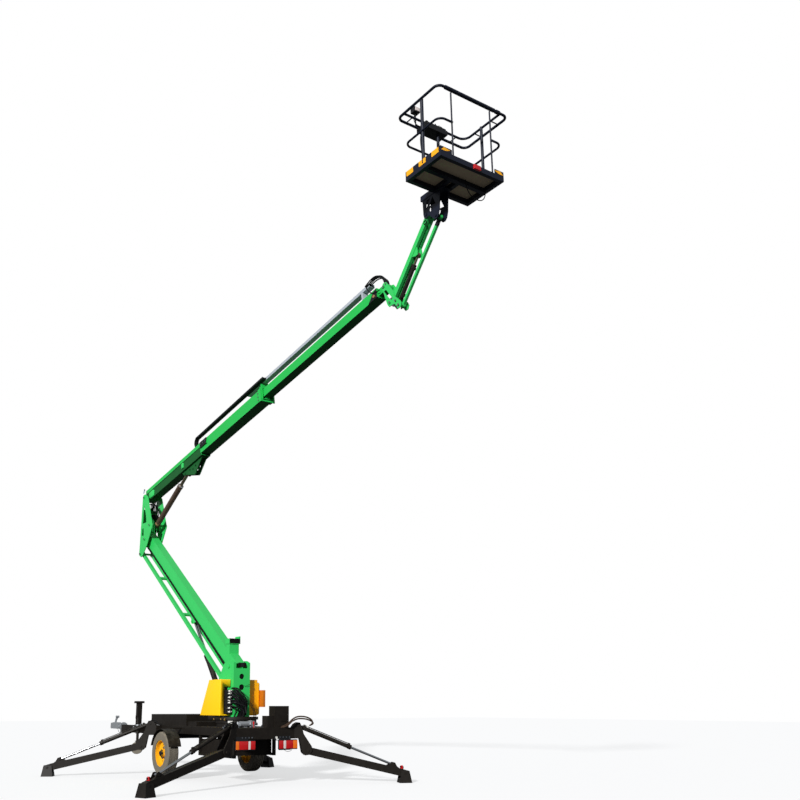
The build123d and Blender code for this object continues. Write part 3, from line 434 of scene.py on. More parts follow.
def along_points(tree_name, seed_mesh_maker, places, name, finish, body, inputs=None):
    """Geometry Nodes: one small shape set on each of many placed and turned points, made real and one mesh."""
    tree = bpy.data.node_groups.new(tree_name, "GeometryNodeTree")
    tree.interface.new_socket("Geometry", in_out="INPUT", socket_type="NodeSocketGeometry")
    tree.interface.new_socket("Geometry", in_out="OUTPUT", socket_type="NodeSocketGeometry")
    sockets = {}
    for key, value in (inputs or {}).items():
        made = tree.interface.new_socket(key, in_out="INPUT", socket_type="NodeSocketFloat")
        made.default_value = value
        sockets[key] = made.identifier
    enter = add(tree, "NodeGroupInput")
    shape = seed_mesh_maker(tree, enter)
    turn = add(tree, "GeometryNodeInputNamedAttribute", {"Name": "turn"}, data_type="FLOAT_VECTOR")
    spot = add(tree, "GeometryNodeInstanceOnPoints", {
        "Points": enter.outputs["Geometry"],
        "Instance": shape,
        "Rotation": turn,
    })
    real = add(tree, "GeometryNodeRealizeInstances", {"Geometry": spot})
    paint = add(tree, "GeometryNodeSetMaterial", {"Geometry": real, "Material": FINISHES[finish]})
    add(tree, "NodeGroupOutput", {"Geometry": paint})
    mesh = bpy.data.meshes.new(name)
    mesh.from_pydata([p for p, _ in places], [], [])
    angles = mesh.attributes.new("turn", "FLOAT_VECTOR", "POINT")
    for k, (_, basis) in enumerate(places):
        angles.data[k].vector = basis.to_euler()
    holder = linked(name + "_points", mesh)
    mod = holder.modifiers.new("Nodes", "NODES")
    mod.node_group = tree
    for key, value in (inputs or {}).items():
        mod[sockets[key]] = value
    made = evaluated(holder)
    made.name = name
    holder.modifiers.remove(mod)
    bpy.data.objects.remove(holder)
    return linked(name, made, body)


def facing(normal):
    """A turn that sends +Z to the normal."""
    return Vector(normal).normalized().to_track_quat("Z", "Y").to_matrix()


def hex_bolt(tree, enter):
    """A hexagon head on its washer."""
    head = add(tree, "GeometryNodeMeshCylinder", {
        "Vertices": 6, "Radius": enter.outputs["Radius"], "Depth": enter.outputs["Height"],
    })
    washer_r = add(tree, "ShaderNodeMath", {0: enter.outputs["Radius"], 1: 1.35}, operation="MULTIPLY")
    washer = add(tree, "GeometryNodeMeshCylinder", {"Vertices": 14, "Radius": washer_r, "Depth": 0.003})
    low = add(tree, "GeometryNodeTransform", {"Geometry": washer, "Translation": (0, 0, -0.004)})
    both = add(tree, "GeometryNodeJoinGeometry")
    tree.links.new(head.outputs["Mesh"], both.inputs["Geometry"])
    tree.links.new(low.outputs["Geometry"], both.inputs["Geometry"])
    return both.outputs["Geometry"]


def bolts(name, body, places, width=0.024):
    """Hexagon heads at points that face the given ways."""
    spots = [(Vector(p), facing(n)) for p, n in places]
    return along_points("Hex bolts " + name, hex_bolt, spots, name, "zinc_bolt", body, {
        "Radius": width / 2 * 1.15, "Height": width * 0.55,
    })


def paint(names, finish):
    """Gives CAD nodes a finish."""
    for name in names.split():
        o = NODES[name]
        if not o.material_slots:
            o.data.materials.append(FINISHES[finish])
        for slot in o.material_slots:
            slot.material = FINISHES[finish]


def upper_outline(points):
    """An outline given along and above the upper boom, as x and z."""
    return [(upper(x, 0, n).x, upper(x, 0, n).z) for x, n in points]


def upper_place(point):
    """How far a point is along the upper boom, and how far above its axis."""
    c, s = math.cos(UPPER_ANGLE), math.sin(UPPER_ANGLE)
    run, climb = PIN_T[0] - point.x, point.z - PIN_T[1]
    return run * c + climb * s, climb * c - run * s


def shade_faces(node, finish, test):
    """Gives another finish to the faces of a CAD node that pass a test of their middle and normal."""
    o = NODES[node]
    o.data.materials.append(FINISHES[finish])
    for face in o.data.polygons:
        if test(o.matrix_world @ face.center, face.normal):
            face.material_index = len(o.data.materials) - 1


class BOOMLIFT_OT_finishes(bpy.types.Operator):
    """Makes every finish of the machine."""

    bl_idname = "boomlift.finishes"
    bl_label = "Finishes"

    def execute(self, context):
        look = context.scene.lift_colours
        # Gloss enamel sprayed over primer: even green with a slight orange peel and road dust on top faces
        coated("enamel_green", look.boom_green, rough=0.36, coat=0.08, dust=look.dust * 0.35, shade=0.06)
        # Gel-coated glass fibre: saturated yellow, soft highlights
        coated("gelcoat_yellow", look.cover_yellow, rough=0.4, coat=0.08, dust=look.dust * 0.3, shade=0.05)
        # The same enamel a shade darker on the upper and inner boom: painted shade for the flatter light on them
        coated("enamel_green_shaded", look.boom_green_shaded, rough=0.38, spec=0.25, coat=0.05, dust=look.dust * 0.35, shade=0.06)
        # Much darker and duller green on the root's lower sides, the cylinder ears and what faces down: painted shade
        coated("enamel_green_deep_shade", "#185628", rough=0.5, spec=0.12, dust=look.dust * 0.4, shade=0.2)
        # The right cover's yellow gel coat painted orange, and the box on it painted dark orange-brown: painted shade
        # on the side turned from the light
        coated("gelcoat_orange", "#FFB008", rough=0.4, coat=0.08, dust=look.dust * 0.3, shade=0.06)
        coated("box_orange", "#B8640C", rough=0.5, dust=look.dust * 0.4, shade=0.1)
        # Near-black painted shade for the unlit insides of openings, and black rubber pads and clamps
        coated("dark_cavity", "#0B0C0B", rough=0.8, spec=0.1, dust=0.05)
        # Satin black powder coat of frame and legs: fine sandy film, dust shows grey
        coated("powder_black", look.frame_black, rough=0.5, spec=0.22, dust=look.dust * 0.9, peel=0.05, grain=520.0)
        coated(
            "powder_platform", look.platform_black, rough=0.45, spec=0.25, dust=look.dust * 0.3, peel=0.05, grain=520.0,
        )
        # Hard chrome of the cylinder rods: bright, thin oil film
        coated("chrome_rod", "#C9CACB", rough=0.16, metal=1.0, dust=0.1, peel=0.003)
        # Black barrel worn to brown grey primer, with oily road film
        coated(
            "worn_barrel", "#4A3B30", dirt="#7A6957", rough=0.5, spec=0.3, dust=0.6, peel=0.05, grain=90.0, shade=0.35,
        )
        # Chrome rod browned by old oil
        coated("worn_chrome", "#B09A86", dirt="#6B5038", rough=0.28, metal=1.0, dust=0.5, peel=0.01)
        # Zinc-plated bolts and couplings: bluish grey, slightly mottled
        coated("zinc_bolt", "#8F949A", rough=0.38, metal=0.9, dust=0.2, peel=0.01)
        coated("cast_zinc", "#A9ADB0", rough=0.48, metal=0.7, dust=0.3, peel=0.06, grain=140.0)
        # Brass hose fittings
        coated("brass_fitting", "#C2A15A", rough=0.3, metal=0.9, dust=0.2)
        # Hose cover bleached and browned by sun and oil
        coated("hose_worn", "#3B2C22", rough=0.6, spec=0.2, dust=0.3, shade=0.2)
        # Anodised body of a sensor
        coated("sensor_blue", "#8E9DB8", rough=0.35, dust=0.1)
        # Moulded tyre rubber, greyed by dust and road
        coated("tyre_rubber", "#6A6459", dirt="#A3977F", rough=0.85, dust=0.75, peel=0.3, grain=180.0)
        # Yellow enamel of the rims under road dust
        coated("rim_enamel", "#E5A818", dirt="#7A6137", rough=0.42, coat=0.1, dust=0.35)
        # Hose covers, and moulded plastic with a fine grain
        coated("hose_rubber", "#0E0F11", rough=0.55, spec=0.15, dust=0.06, peel=0.03)
        coated("moulded_black", "#16171A", rough=0.55, spec=0.25, dust=0.1, peel=0.06, grain=620.0)
        # Warning film, brushed aluminium tray, and clear and tinted lamp lenses
        coated("stripe_orange", look.stripe_orange, rough=0.42, dust=0.15, shade=0.06)
        coated("aluminium_tray", "#B4BAC2", rough=0.4, metal=0.25, dust=0.15)
        coated("lens_red", "#B8151A", rough=0.2, coat=0.3, dust=0.15, shade=0.15)
        coated("lens_orange", "#E8701C", rough=0.2, coat=0.3, dust=0.15, shade=0.15)
        coated("lens_white", "#D8CBC6", rough=0.2, coat=0.3, dust=0.15, shade=0.12)
        # Old grease on pins, white plastic caps, and expanded metal with dust in its mesh
        coated("grease_tan", "#9A7B52", rough=0.5, dust=0.4)
        coated("white_fitting", "#DAD9D2", rough=0.45, dust=0.2, shade=0.1)
        coated("expanded_mesh", "#C2B094", rough=0.7, metal=0.0, dust=0.5, peel=0.8, grain=60.0)
        return {"FINISHED"}


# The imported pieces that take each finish
PAINTED = {
    "enamel_green": "lower_boom level_rods elbow_link tip_link jib_arm jib_rod turret_column",
    # The upper and inner boom take the darker copy of the enamel, painted shade
    "enamel_green_shaded": "upper_boom inner_boom",
    "gelcoat_yellow": "cover_left cover_right",
    "powder_black": "chassis_frame axle drawbar boom_rest deck_cover control_boxes fender_left fender_right "
    "jockey_stem lower_barrel jib_barrel",
    "powder_platform": "basket_floor basket_rails gate_bar platform_support",
    "worn_barrel": "upper_barrel",
    "chrome_rod": "lower_ram",
    "worn_chrome": "upper_ram jib_ram",
    "cast_zinc": "tow_coupling slew_motor",
    "aluminium_tray": "hose_tray",
    "moulded_black": "platform_console tail_lamp_left tail_lamp_right valve_bank hose_chain",
    "tyre_rubber": "tyre_left tyre_right jockey_wheel",
    "rim_enamel": "rim_left rim_right",
}


class BOOMLIFT_OT_paint_nodes(bpy.types.Operator):
    """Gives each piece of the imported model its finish."""

    bl_idname = "boomlift.paint_nodes"
    bl_label = "Paint the packed pieces"

    def execute(self, context):
        for finish, names in PAINTED.items():
            paint(names, finish)
        for corner in CORNERS:
            paint("leg_%s pad_%s barrel_%s" % (corner, corner, corner), "powder_black")
            paint("ram_" + corner, "chrome_rod")
        under = upper(0, 0, 0) - upper(0, 0, 1)

        def painted_shade_faces(middle, normal):
            """Painted shade: the root's sides below the strip, the cylinder ears, and what faces down."""
            x, n = upper_place(middle)
            low_side = x < SLEEVE_START and n < STRIP_FOOT and abs(normal.y) > 0.7
            return low_side or n < UNDERSIDE or normal.dot(under) > 0.7

        def clamp_side(middle, normal):
            """The sides of the clamp round the sleeve's start."""
            x, n = upper_place(middle)
            return SLEEVE_START + 0.01 < x < 2.77 and n > 0.03 and abs(middle.y) > 0.11

        shade_faces("upper_boom", "enamel_green_deep_shade", painted_shade_faces)
        shade_faces("upper_boom", "moulded_black", clamp_side)
        # What faces down on the inner boom takes the painted shade too
        shade_faces("inner_boom", "enamel_green_deep_shade", lambda middle, normal: normal.dot(under) > 0.7)
        return {"FINISHED"}


# Camera fitted to the photograph (place, way, lens in mm, shift of the picture), and the light over the machine
CAMERA_PLACE = (-12.6137, 6.7119, 1.129)
CAMERA_WAY = (0.81864, -0.5261, 0.23034)
CAMERA_LENS = 39.7
CAMERA_SHIFT = (0.1112, 0.122)
SUN_FROM = (-0.5, 0.78, 0.38)
SUN_POWER = 4.5
SUN_WIDTH = math.radians(5)
SKY_POWER = 0.36
FLOOR_GLOW = 1.12
FLOOR_REACH = 60.0


class BOOMLIFT_OT_stage(bpy.types.Operator):
    """Floor, backdrop, light and the camera of the photograph's view."""

    bl_idname = "boomlift.stage"
    bl_label = "Stage"

    def execute(self, context):
        scene = context.scene
        scene.view_settings.view_transform = "Standard"
        mesh = bpy.data.meshes.new("floor")
        reach = FLOOR_REACH
        corners = [(-reach, -reach, 0), (reach, -reach, 0), (reach, reach, 0), (-reach, reach, 0)]
        mesh.from_pydata(corners, [], [(0, 1, 2, 3)])
        floor = linked("floor", mesh)
        mat, tree = blank("floor_paint")
        way = add(tree, "ShaderNodeLightPath")
        bounce = add(tree, "ShaderNodeMix", {0: way, 6: linear("#585858"), 7: linear("#F2F2F2")}, data_type="RGBA")
        matte = add(tree, "ShaderNodeBsdfDiffuse", {"Color": bounce.outputs[2]})
        glow = add(tree, "ShaderNodeEmission", {"Color": linear("#FFFFFF"), "Strength": FLOOR_GLOW})
        part = add(tree, "ShaderNodeMath", {0: way, 1: 0.55}, operation="MULTIPLY")
        mixed = add(tree, "ShaderNodeMixShader", {0: part, 1: matte, 2: glow})
        add(tree, "ShaderNodeOutputMaterial", {"Surface": mixed})
        mesh.materials.append(mat)

        world = bpy.data.worlds.new("studio")
        scene.world = world
        world.use_nodes = True
        tree = world.node_tree
        tree.nodes.clear()
        way = add(tree, "ShaderNodeLightPath")
        soft = add(tree, "ShaderNodeBackground", {"Color": linear("#EEF3FA"), "Strength": SKY_POWER})
        white = add(tree, "ShaderNodeBackground", {"Color": linear("#FFFFFF"), "Strength": 1.0})
        both = add(tree, "ShaderNodeMixShader", {0: way, 1: soft, 2: white})
        add(tree, "ShaderNodeOutputWorld", {"Surface": both})

        sun = bpy.data.lights.new("key", "SUN")
        sun.energy = SUN_POWER
        sun.angle = SUN_WIDTH
        lamp = linked("key", sun)
        lamp.rotation_euler = Vector(SUN_FROM).to_track_quat("Z", "Y").to_euler()

        data = bpy.data.cameras.new("camera")
        data.sensor_width = 36.0
        data.lens = CAMERA_LENS
        data.shift_x, data.shift_y = CAMERA_SHIFT
        data.clip_end = 200.0
        cam = linked("camera", data)
        cam.location = CAMERA_PLACE
        cam.rotation_euler = Vector(CAMERA_WAY).to_track_quat("-Z", "Y").to_euler()
        scene.camera = cam
        return {"FINISHED"}


# Road wheels: middle of the axle, half the track, radii of the tyre and its lugs, and the lug rows across it
WHEEL_CENTRE = Vector((0.92, 0.0, 0.405))
WHEEL_OUT = 0.775
TYRE_RADIUS = 0.33
LUG_RADIUS = 0.3285
SHOULDER_RADIUS = 0.3205
TREAD_ROWS = (-0.068, -0.041, -0.0135, 0.0135, 0.041, 0.068)


class BOOMLIFT_OT_wheels(bpy.types.Operator):
    """Tread lugs, hubs and wheel nuts of the two road wheels."""

    bl_idname = "boomlift.wheels"
    bl_label = "Wheels"

    def execute(self, context):
        sizes = context.scene.lift_sizes
        for name, side in (("left", 1), ("right", -1)):
            body = "wheel_" + name
            mid = WHEEL_CENTRE + Vector((0, side * WHEEL_OUT, 0))
            spots = []
            for k in range(sizes.tread_lugs):
                a = 2 * math.pi * k / sizes.tread_lugs
                for row, y in enumerate(TREAD_ROWS):
                    b = a + (row % 2) * math.pi / sizes.tread_lugs
                    out = Vector((math.cos(b), 0, math.sin(b)))
                    radius = LUG_RADIUS if abs(y) < 0.06 else SHOULDER_RADIUS
                    basis = Matrix((out.cross(Vector((0, 1, 0))), Vector((0, 1, 0)), out)).transposed()
                    spots.append((mid + out * radius + Vector((0, y, 0)), basis))

            def lug_block(tree, enter):
                """A low oblong block of the tread."""
                join = add(tree, "ShaderNodeCombineXYZ", {
                    "X": enter.outputs["Length"], "Y": enter.outputs["Width"], "Z": enter.outputs["Height"],
                })
                return add(tree, "GeometryNodeMeshCube", {"Size": join.outputs["Vector"]}).outputs["Mesh"]

            pitch = 2 * math.pi * TYRE_RADIUS / sizes.tread_lugs
            along_points(
                "Tread lugs " + name, lug_block, spots, "tread_" + name, "tyre_rubber", body,
                {"Length": pitch * 0.72, "Width": 0.022, "Height": 0.006},
            )
            bm = bmesh.new()
            face = mid + Vector((0, side * 0.02, 0))
            out = Vector((0, side, 0))
            put_rod(bm, face, face + out * 0.044, 0.06, sides=36)
            put_rod(bm, face + out * 0.044, face + out * 0.07, 0.04, sides=30, r2=0.034)
            put_rod(bm, face + out * 0.07, face + out * 0.074, 0.03, sides=24, r2=0.02)
            finish_mesh("hub_" + name, bm, "moulded_black", body)
            nuts = []
            for k in range(5):
                a = 2 * math.pi * k / 5 + 0.3
                nuts.append((face + Vector((0.086 * math.cos(a), side * 0.008, 0.086 * math.sin(a))), (0, side, 0)))
            bolts("wheel_nuts_" + name, body, nuts, 0.026)
        return {"FINISHED"}


class BOOMLIFT_OT_drag_chain(bpy.types.Operator):
    """Plastic links of the hose chain, from its bend into the tray."""

    bl_idname = "boomlift.drag_chain"
    bl_label = "Drag chain"

    def execute(self, context):
        pitch = context.scene.lift_sizes.chain_pitch
        high, low, start, end, y = 0.3453, 0.1723, 2.3, 4.74, 0.04
        turn = (high - low) / 2
        route = []
        x = end
        while x > start:
            route.append((x, high, 0.0))
            x -= pitch
        steps = max(4, round(math.pi * turn / pitch))
        for k in range(steps + 1):
            a = math.pi * k / steps
            route.append((start - turn * math.sin(a), low + turn + turn * math.cos(a), a))
        x = start + pitch * 0.6
        while x < start + 0.11:
            route.append((x, low, math.pi))
            x += pitch
        spots = []
        for x, n, a in route:
            way = -(upper(1, 0, 0) - upper(0, 0, 0)) * math.cos(a) - (upper(0, 0, 1) - upper(0, 0, 0)) * math.sin(a)
            cross = Vector((0, 1, 0))
            basis = Matrix((way, cross, way.cross(cross))).transposed()
            spots.append((upper(x, y, n), basis))

        def link(tree, enter):
            """Two side plates with a bar above and below, open between."""
            both = add(tree, "GeometryNodeJoinGeometry")
            for size, move in (
                ((0.062, 0.006, 0.033), (0, 0.033, 0)),
                ((0.062, 0.006, 0.033), (0, -0.033, 0)),
                ((0.034, 0.008, 0.026), (0.028, 0.031, 0)),
                ((0.034, 0.008, 0.026), (0.028, -0.031, 0)),
                ((0.022, 0.066, 0.004), (0, 0, 0.0145)),
                ((0.022, 0.066, 0.004), (0, 0, -0.0145)),
                ((0.062, 0.044, 0.018), (0, 0, 0)),
            ):
                one = add(tree, "GeometryNodeMeshCube", {"Size": size})
                put = add(tree, "GeometryNodeTransform", {"Geometry": one, "Translation": move})
                tree.links.new(put.outputs["Geometry"], both.inputs["Geometry"])
            return both.outputs["Geometry"]

        chain = along_points("Chain links", link, spots, "chain_links", "moulded_black", "chain")
        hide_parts("hose_chain")
        return {"FINISHED"}


class BOOMLIFT_OT_lamps(bpy.types.Operator):
    """Lenses of the tail lamps, and the red markers of the rear legs."""

    bl_idname = "boomlift.lamps"
    bl_label = "Lamps"

    def execute(self, context):
        lenses = "lens_orange lens_red lens_white moulded_black"
        for name, y0, cells in (
            ("left", 0.52, ((0.0, 0.17, 0), (0.17, 0.64, 1), (0.64, 0.76, 2), (0.76, 1.0, 1))),
            ("right", -0.2, ((0.0, 0.24, 1), (0.24, 0.38, 2), (0.38, 0.76, 1), (0.76, 1.0, 0))),
        ):
            bm = bmesh.new()
            wide = 0.32
            for a, b, mat in cells:
                low = (-0.989, y0 - b * wide + 0.002, 0.522)
                high = (-0.982, y0 - a * wide - 0.002, 0.638)
                put_box(bm, low, high, mat, bevel=0.003)
            put_box(bm, (-0.984, y0 - wide, 0.51), (-0.95, y0, 0.65), 3, bevel=0.006)
            put_box(bm, (-0.95, y0 - wide * 0.7, 0.5), (-0.944, y0 - wide * 0.05, 0.7), 3)
            finish_mesh("tail_lenses_" + name, bm, lenses, "chassis", replaces=("tail_lamp_" + name,))
        for corner in ("rear_left", "rear_right"):
            bm = bmesh.new()
            foot = leg(corner, 1.47, 0.0, 0.206)
            put_rod(bm, foot, foot + Vector((0, 0, 0.03)), 0.028, 0, 24)
            put_rod(bm, foot + Vector((0, 0, 0.03)), foot + Vector((0, 0, 0.046)), 0.028, 0, 24, 0.016)
            finish_mesh("marker_" + corner, bm, "lens_red", "leg_" + corner)
        return {"FINISHED"}


class BOOMLIFT_OT_bolts(bpy.types.Operator):
    """Bolt heads on the elbow link, the chassis's rear plate and the upper boom."""

    bl_idname = "boomlift.bolts"
    bl_label = "Bolts"

    def execute(self, context):
        wide = context.scene.lift_sizes.bolt
        elbow = []
        for x, z in (PIN_T, PIN_C, PIN_B, PIN_R):
            for side in (-1, 1):
                elbow.append(((x, side * 0.172, z), (0, side, 0)))
        bolts("elbow_bolts", "elbow", elbow, wide * 1.3)
        tail = []
        for side in (-1, 1):
            for k in range(4):
                tail.append(((-0.951, side * (0.235 + 0.055 * k), 0.685), (-1, 0, 0)))
        bolts("plate_bolts", "chassis", tail, wide * 0.6)
        boom = []
        for x in (4.67, 4.76):
            for n in (-0.02, 0.04, 0.1):
                for side in (-1, 1):
                    boom.append((upper(x - 0.02, side * 0.113, n), (0, side, 0)))
        for x in (2.54, 2.63, 2.72):
            for side in (-1, 1):
                boom.append((upper(x, side * 0.123, 0.1), (0, side, 0)))
        bolts("boom_bolts", "upper_boom", boom, wide)
        return {"FINISHED"}


class BOOMLIFT_OT_platform(bpy.types.Operator):
    """Warning stripes, floor mesh, lamps, console knobs and cables of the platform."""

    bl_idname = "boomlift.platform"
    bl_label = "Platform"

    def execute(self, context):
        x0, x1, half, low, top = -5.766, -5.116, 0.509, 7.475, 7.535
        bm = bmesh.new()
        for y in (half + 0.001, -half - 0.001):
            for k in range(3):
                a = x1 - 0.02 - k * 0.235
                put_box(bm, (a - 0.125, y - 0.0015, low - 0.012), (a, y + 0.0015, top - 0.003))
        for side in (1, -1):
            y1, y2 = side * 0.5, side * 0.365
            corner = (
                (y1, low + 0.01), (y1 - side * 0.07, low + 0.01), (y2 - side * 0.01, top - 0.02),
                (y2 + side * 0.09, top - 0.006), (y1, top - 0.05),
            )
            for out in (x0 - 0.0012, x0 - 0.0012 + 0.009):
                bm.faces.new([bm.verts.new((out, y, z)) for y, z in corner])
        finish_mesh("toe_stripes", bm, "stripe_orange", "platform")
        bm = bmesh.new()
        put_box(bm, (x0 + 0.052, -half + 0.052, 7.4665), (x1 - 0.052, half - 0.052, 7.4668))
        finish_mesh("floor_mesh_under", bm, "expanded_mesh", "platform")
        bm = bmesh.new()
        put_box(bm, (x0 - 0.026, -0.108, 7.402), (x0 + 0.004, -0.002, 7.462), bevel=0.008)
        finish_mesh("platform_red_lamp", bm, "lens_red", "platform")
        tube("floor_cable", 0.012, "platform", [
            (-5.52, -0.1, 7.43), (-5.52, -0.105, 7.33), (-5.52, -0.16, 7.235), (-5.51, -0.284, 7.215),
            (-5.5, -0.4, 7.24), (-5.5, -0.452, 7.33), (-5.5, -0.455, 7.43),
        ])
        bm = bmesh.new()
        put_box(bm, (-5.13, 0.256, 8.47), (-5.05, 0.344, 8.535), bevel=0.012)
        put_box(bm, (-5.138, 0.266, 8.48), (-5.128, 0.334, 8.525), 1, bevel=0.004)
        finish_mesh("work_lamp", bm, "moulded_black lens_white", "platform")
        tube("lamp_cable", 0.012, "platform", [
            (-5.09, 0.3, 8.48), (-5.095, 0.33, 8.4), (-5.1, 0.34, 8.33), (-5.11, 0.3, 8.28), (-5.12, 0.22, 8.28),
        ])
        tube("console_cable", 0.016, "platform", [
            (-5.13, 0.2, 8.27), (-5.13, 0.26, 8.18), (-5.135, 0.27, 8.0), (-5.14, 0.24, 7.85), (-5.14, 0.25, 7.7),
            (-5.15, 0.26, 7.55), (-5.15, 0.26, 7.48),
        ])
        bm = bmesh.new()
        for y in (-0.04, 0.02, 0.08):
            put_rod(bm, (-5.15, y, 8.345), (-5.15, y, 8.368), 0.01, 0, 16)
            put_rod(bm, (-5.15, y, 8.368), (-5.148, y, 8.392), 0.006, 0, 12)
        finish_mesh("console_knobs", bm, "moulded_black", "platform")
        return {"FINISHED"}


class BOOMLIFT_OT_turret(bpy.types.Operator):
    """Covers, valve block, hoses, wires, fittings and plate of the turret, and the lower boom's saddle pad."""

    bl_idname = "boomlift.turret"
    bl_label = "Turret"

    def execute(self, context):
        outline = [(-0.08, 0.99), (-0.08, 1.54), (0.32, 1.54), (0.612, 1.005), (0.606, 0.99)]
        bm = bmesh.new()
        put_prism(bm, outline, 0.151, 0.33, 0, 0.034, 5)
        left = finish_mesh("cover_left_moulding", bm, "gelcoat_yellow", "turret", 50.0)
        carve(left, (-0.2, 0.1, 1.015), (-0.03, 0.262, 1.43))
        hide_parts("cover_left")
        bm = bmesh.new()
        put_prism(bm, outline, -0.33, -0.151, 0, 0.034, 5)
        bulge = [(-0.08, 1.0), (-0.08, 1.5), (0.295, 1.5), (0.505, 1.06), (0.505, 1.0)]
        put_prism(bm, bulge, -0.378, -0.3, 0, 0.028, 5)
        put_box(bm, (-0.19, -0.414, 1.12), (0.09, -0.376, 1.38), 1, bevel=0.006)
        # The orange right cover and the dark orange-brown box are painted shade
        finish_mesh("cover_right_moulding", bm, "gelcoat_orange box_orange", "turret", 50.0, replaces=("cover_right",))
        bm = bmesh.new()
        # The near-black boxes in the left cover's opening and between the covers are painted shade of the insides
        put_box(bm, (-0.076, 0.15, 1.018), (-0.034, 0.258, 1.426))
        put_box(bm, (-0.11, 0.15, 1.38), (-0.06, 0.2, 1.415), 1)
        put_box(bm, (-0.151, -0.13, 0.985), (-0.104, 0.13, 1.64))
        put_box(bm, (-0.152, -0.085, 1.728), (-0.146, 0.055, 1.8))
        put_box(bm, (-0.156, -0.045, 1.735), (-0.151, 0.02, 1.792), 3)
        for z in (1.048, 1.105, 1.185, 1.222, 1.266, 1.324, 1.362):
            put_rod(bm, (-0.148, 0.218, z), (-0.176, 0.214, z), 0.012, 2, 6)
            put_rod(bm, (-0.176, 0.214, z), (-0.19, 0.206, z), 0.016, 2, 6)
            put_rod(bm, (-0.148, 0.18, z + 0.004), (-0.172, 0.172, z + 0.004), 0.01, 2, 6)
        finish_mesh("valve_block", bm, "dark_cavity enamel_green white_fitting moulded_black", "turret")
        bm = bmesh.new()
        put_box(bm, (0.092, -0.093, 2.116), (0.1, 0.092, 2.191))
        put_box(bm, (0.092, -0.093, 2.184), (0.237, 0.092, 2.191))
        finish_mesh("saddle_pad", bm, "dark_cavity", "lower_boom")
        routes = []
        for k, (z, y, reach, drop) in enumerate((
            (1.402, 0.203, 0.185, -0.02), (1.362, 0.203, 0.205, -0.01), (1.324, 0.203, 0.19, 0.01),
            (1.266, 0.203, 0.175, 0.03), (1.222, 0.203, 0.16, 0.05), (1.185, 0.203, 0.15, 0.07),
            (1.12, 0.203, 0.13, 0.12), (1.362, 0.17, 0.215, -0.04), (1.324, 0.17, 0.2, -0.05),
            (1.266, 0.17, 0.19, -0.03), (1.222, 0.17, 0.175, 0.0), (1.402, 0.17, 0.22, -0.06),
        )):
            x = -0.16
            far = x - reach * 0.55
            routes.append((0.019 if k % 3 else 0.024, [
                (x, y - 0.034, z), (x - reach * 0.4, y - 0.04, z + 0.012), (far, y - 0.062, z - 0.012),
                (far - 0.02, y - 0.115 + drop * 0.3, z - 0.09), (far - 0.01, drop + 0.01, (z + 1.0) / 2 - 0.02),
                (-0.245 + 0.004 * k, drop + 0.004, 1.035), (-0.215 + 0.004 * k, drop + 0.018, 0.965),
                (-0.2, drop + 0.03, 0.9),
            ]))
        hoses("valve_hoses", routes, "turret")
        thin = []
        for k in range(3):
            thin.append((0.008, [
                (-0.22, 0.06 - 0.02 * k, 1.3 - 0.03 * k), (-0.24, 0.0, 1.285 - 0.03 * k),
                (-0.25, -0.08, 1.235 - 0.03 * k), (-0.25, -0.155, 1.14 - 0.02 * k), (-0.245, -0.205 + 0.02 * k, 1.05),
                (-0.235, -0.222 + 0.02 * k, 0.975),
            ]))
        thin.append((0.006, [
            (-0.16, -0.04, 1.445), (-0.185, -0.07, 1.43), (-0.19, -0.11, 1.462), (-0.178, -0.142, 1.47),
            (-0.165, -0.15, 1.455),
        ]))
        hoses("valve_wires", thin, "turret")
        bm = bmesh.new()
        for x, y, z in (
            (-0.2, 0.3, 0.948), (-0.15, 0.275, 0.962), (-0.1, 0.31, 0.955), (-0.24, 0.16, 0.955), (-0.2, 0.12, 0.962),
            (0.1, 0.33, 0.955),
        ):
            put_rod(bm, (x, y, z - 0.03), (x, y, z + 0.005), 0.013, 0, 6)
            put_rod(bm, (x, y, z - 0.012), (x - 0.02, y + 0.022, z - 0.014), 0.01, 0, 8)
        finish_mesh("base_fittings", bm, "brass_fitting", "turret")
        bm = bmesh.new()
        put_rod(bm, (0.0, 0.0, 0.93), (0.0, 0.0, 0.972), 0.345, 0, 48)
        put_box(bm, (0.05, 0.3, 0.93), (0.3, 0.345, 0.988), bevel=0.004)
        finish_mesh("turntable_plate", bm, "powder_black", "turret")
        return {"FINISHED"}


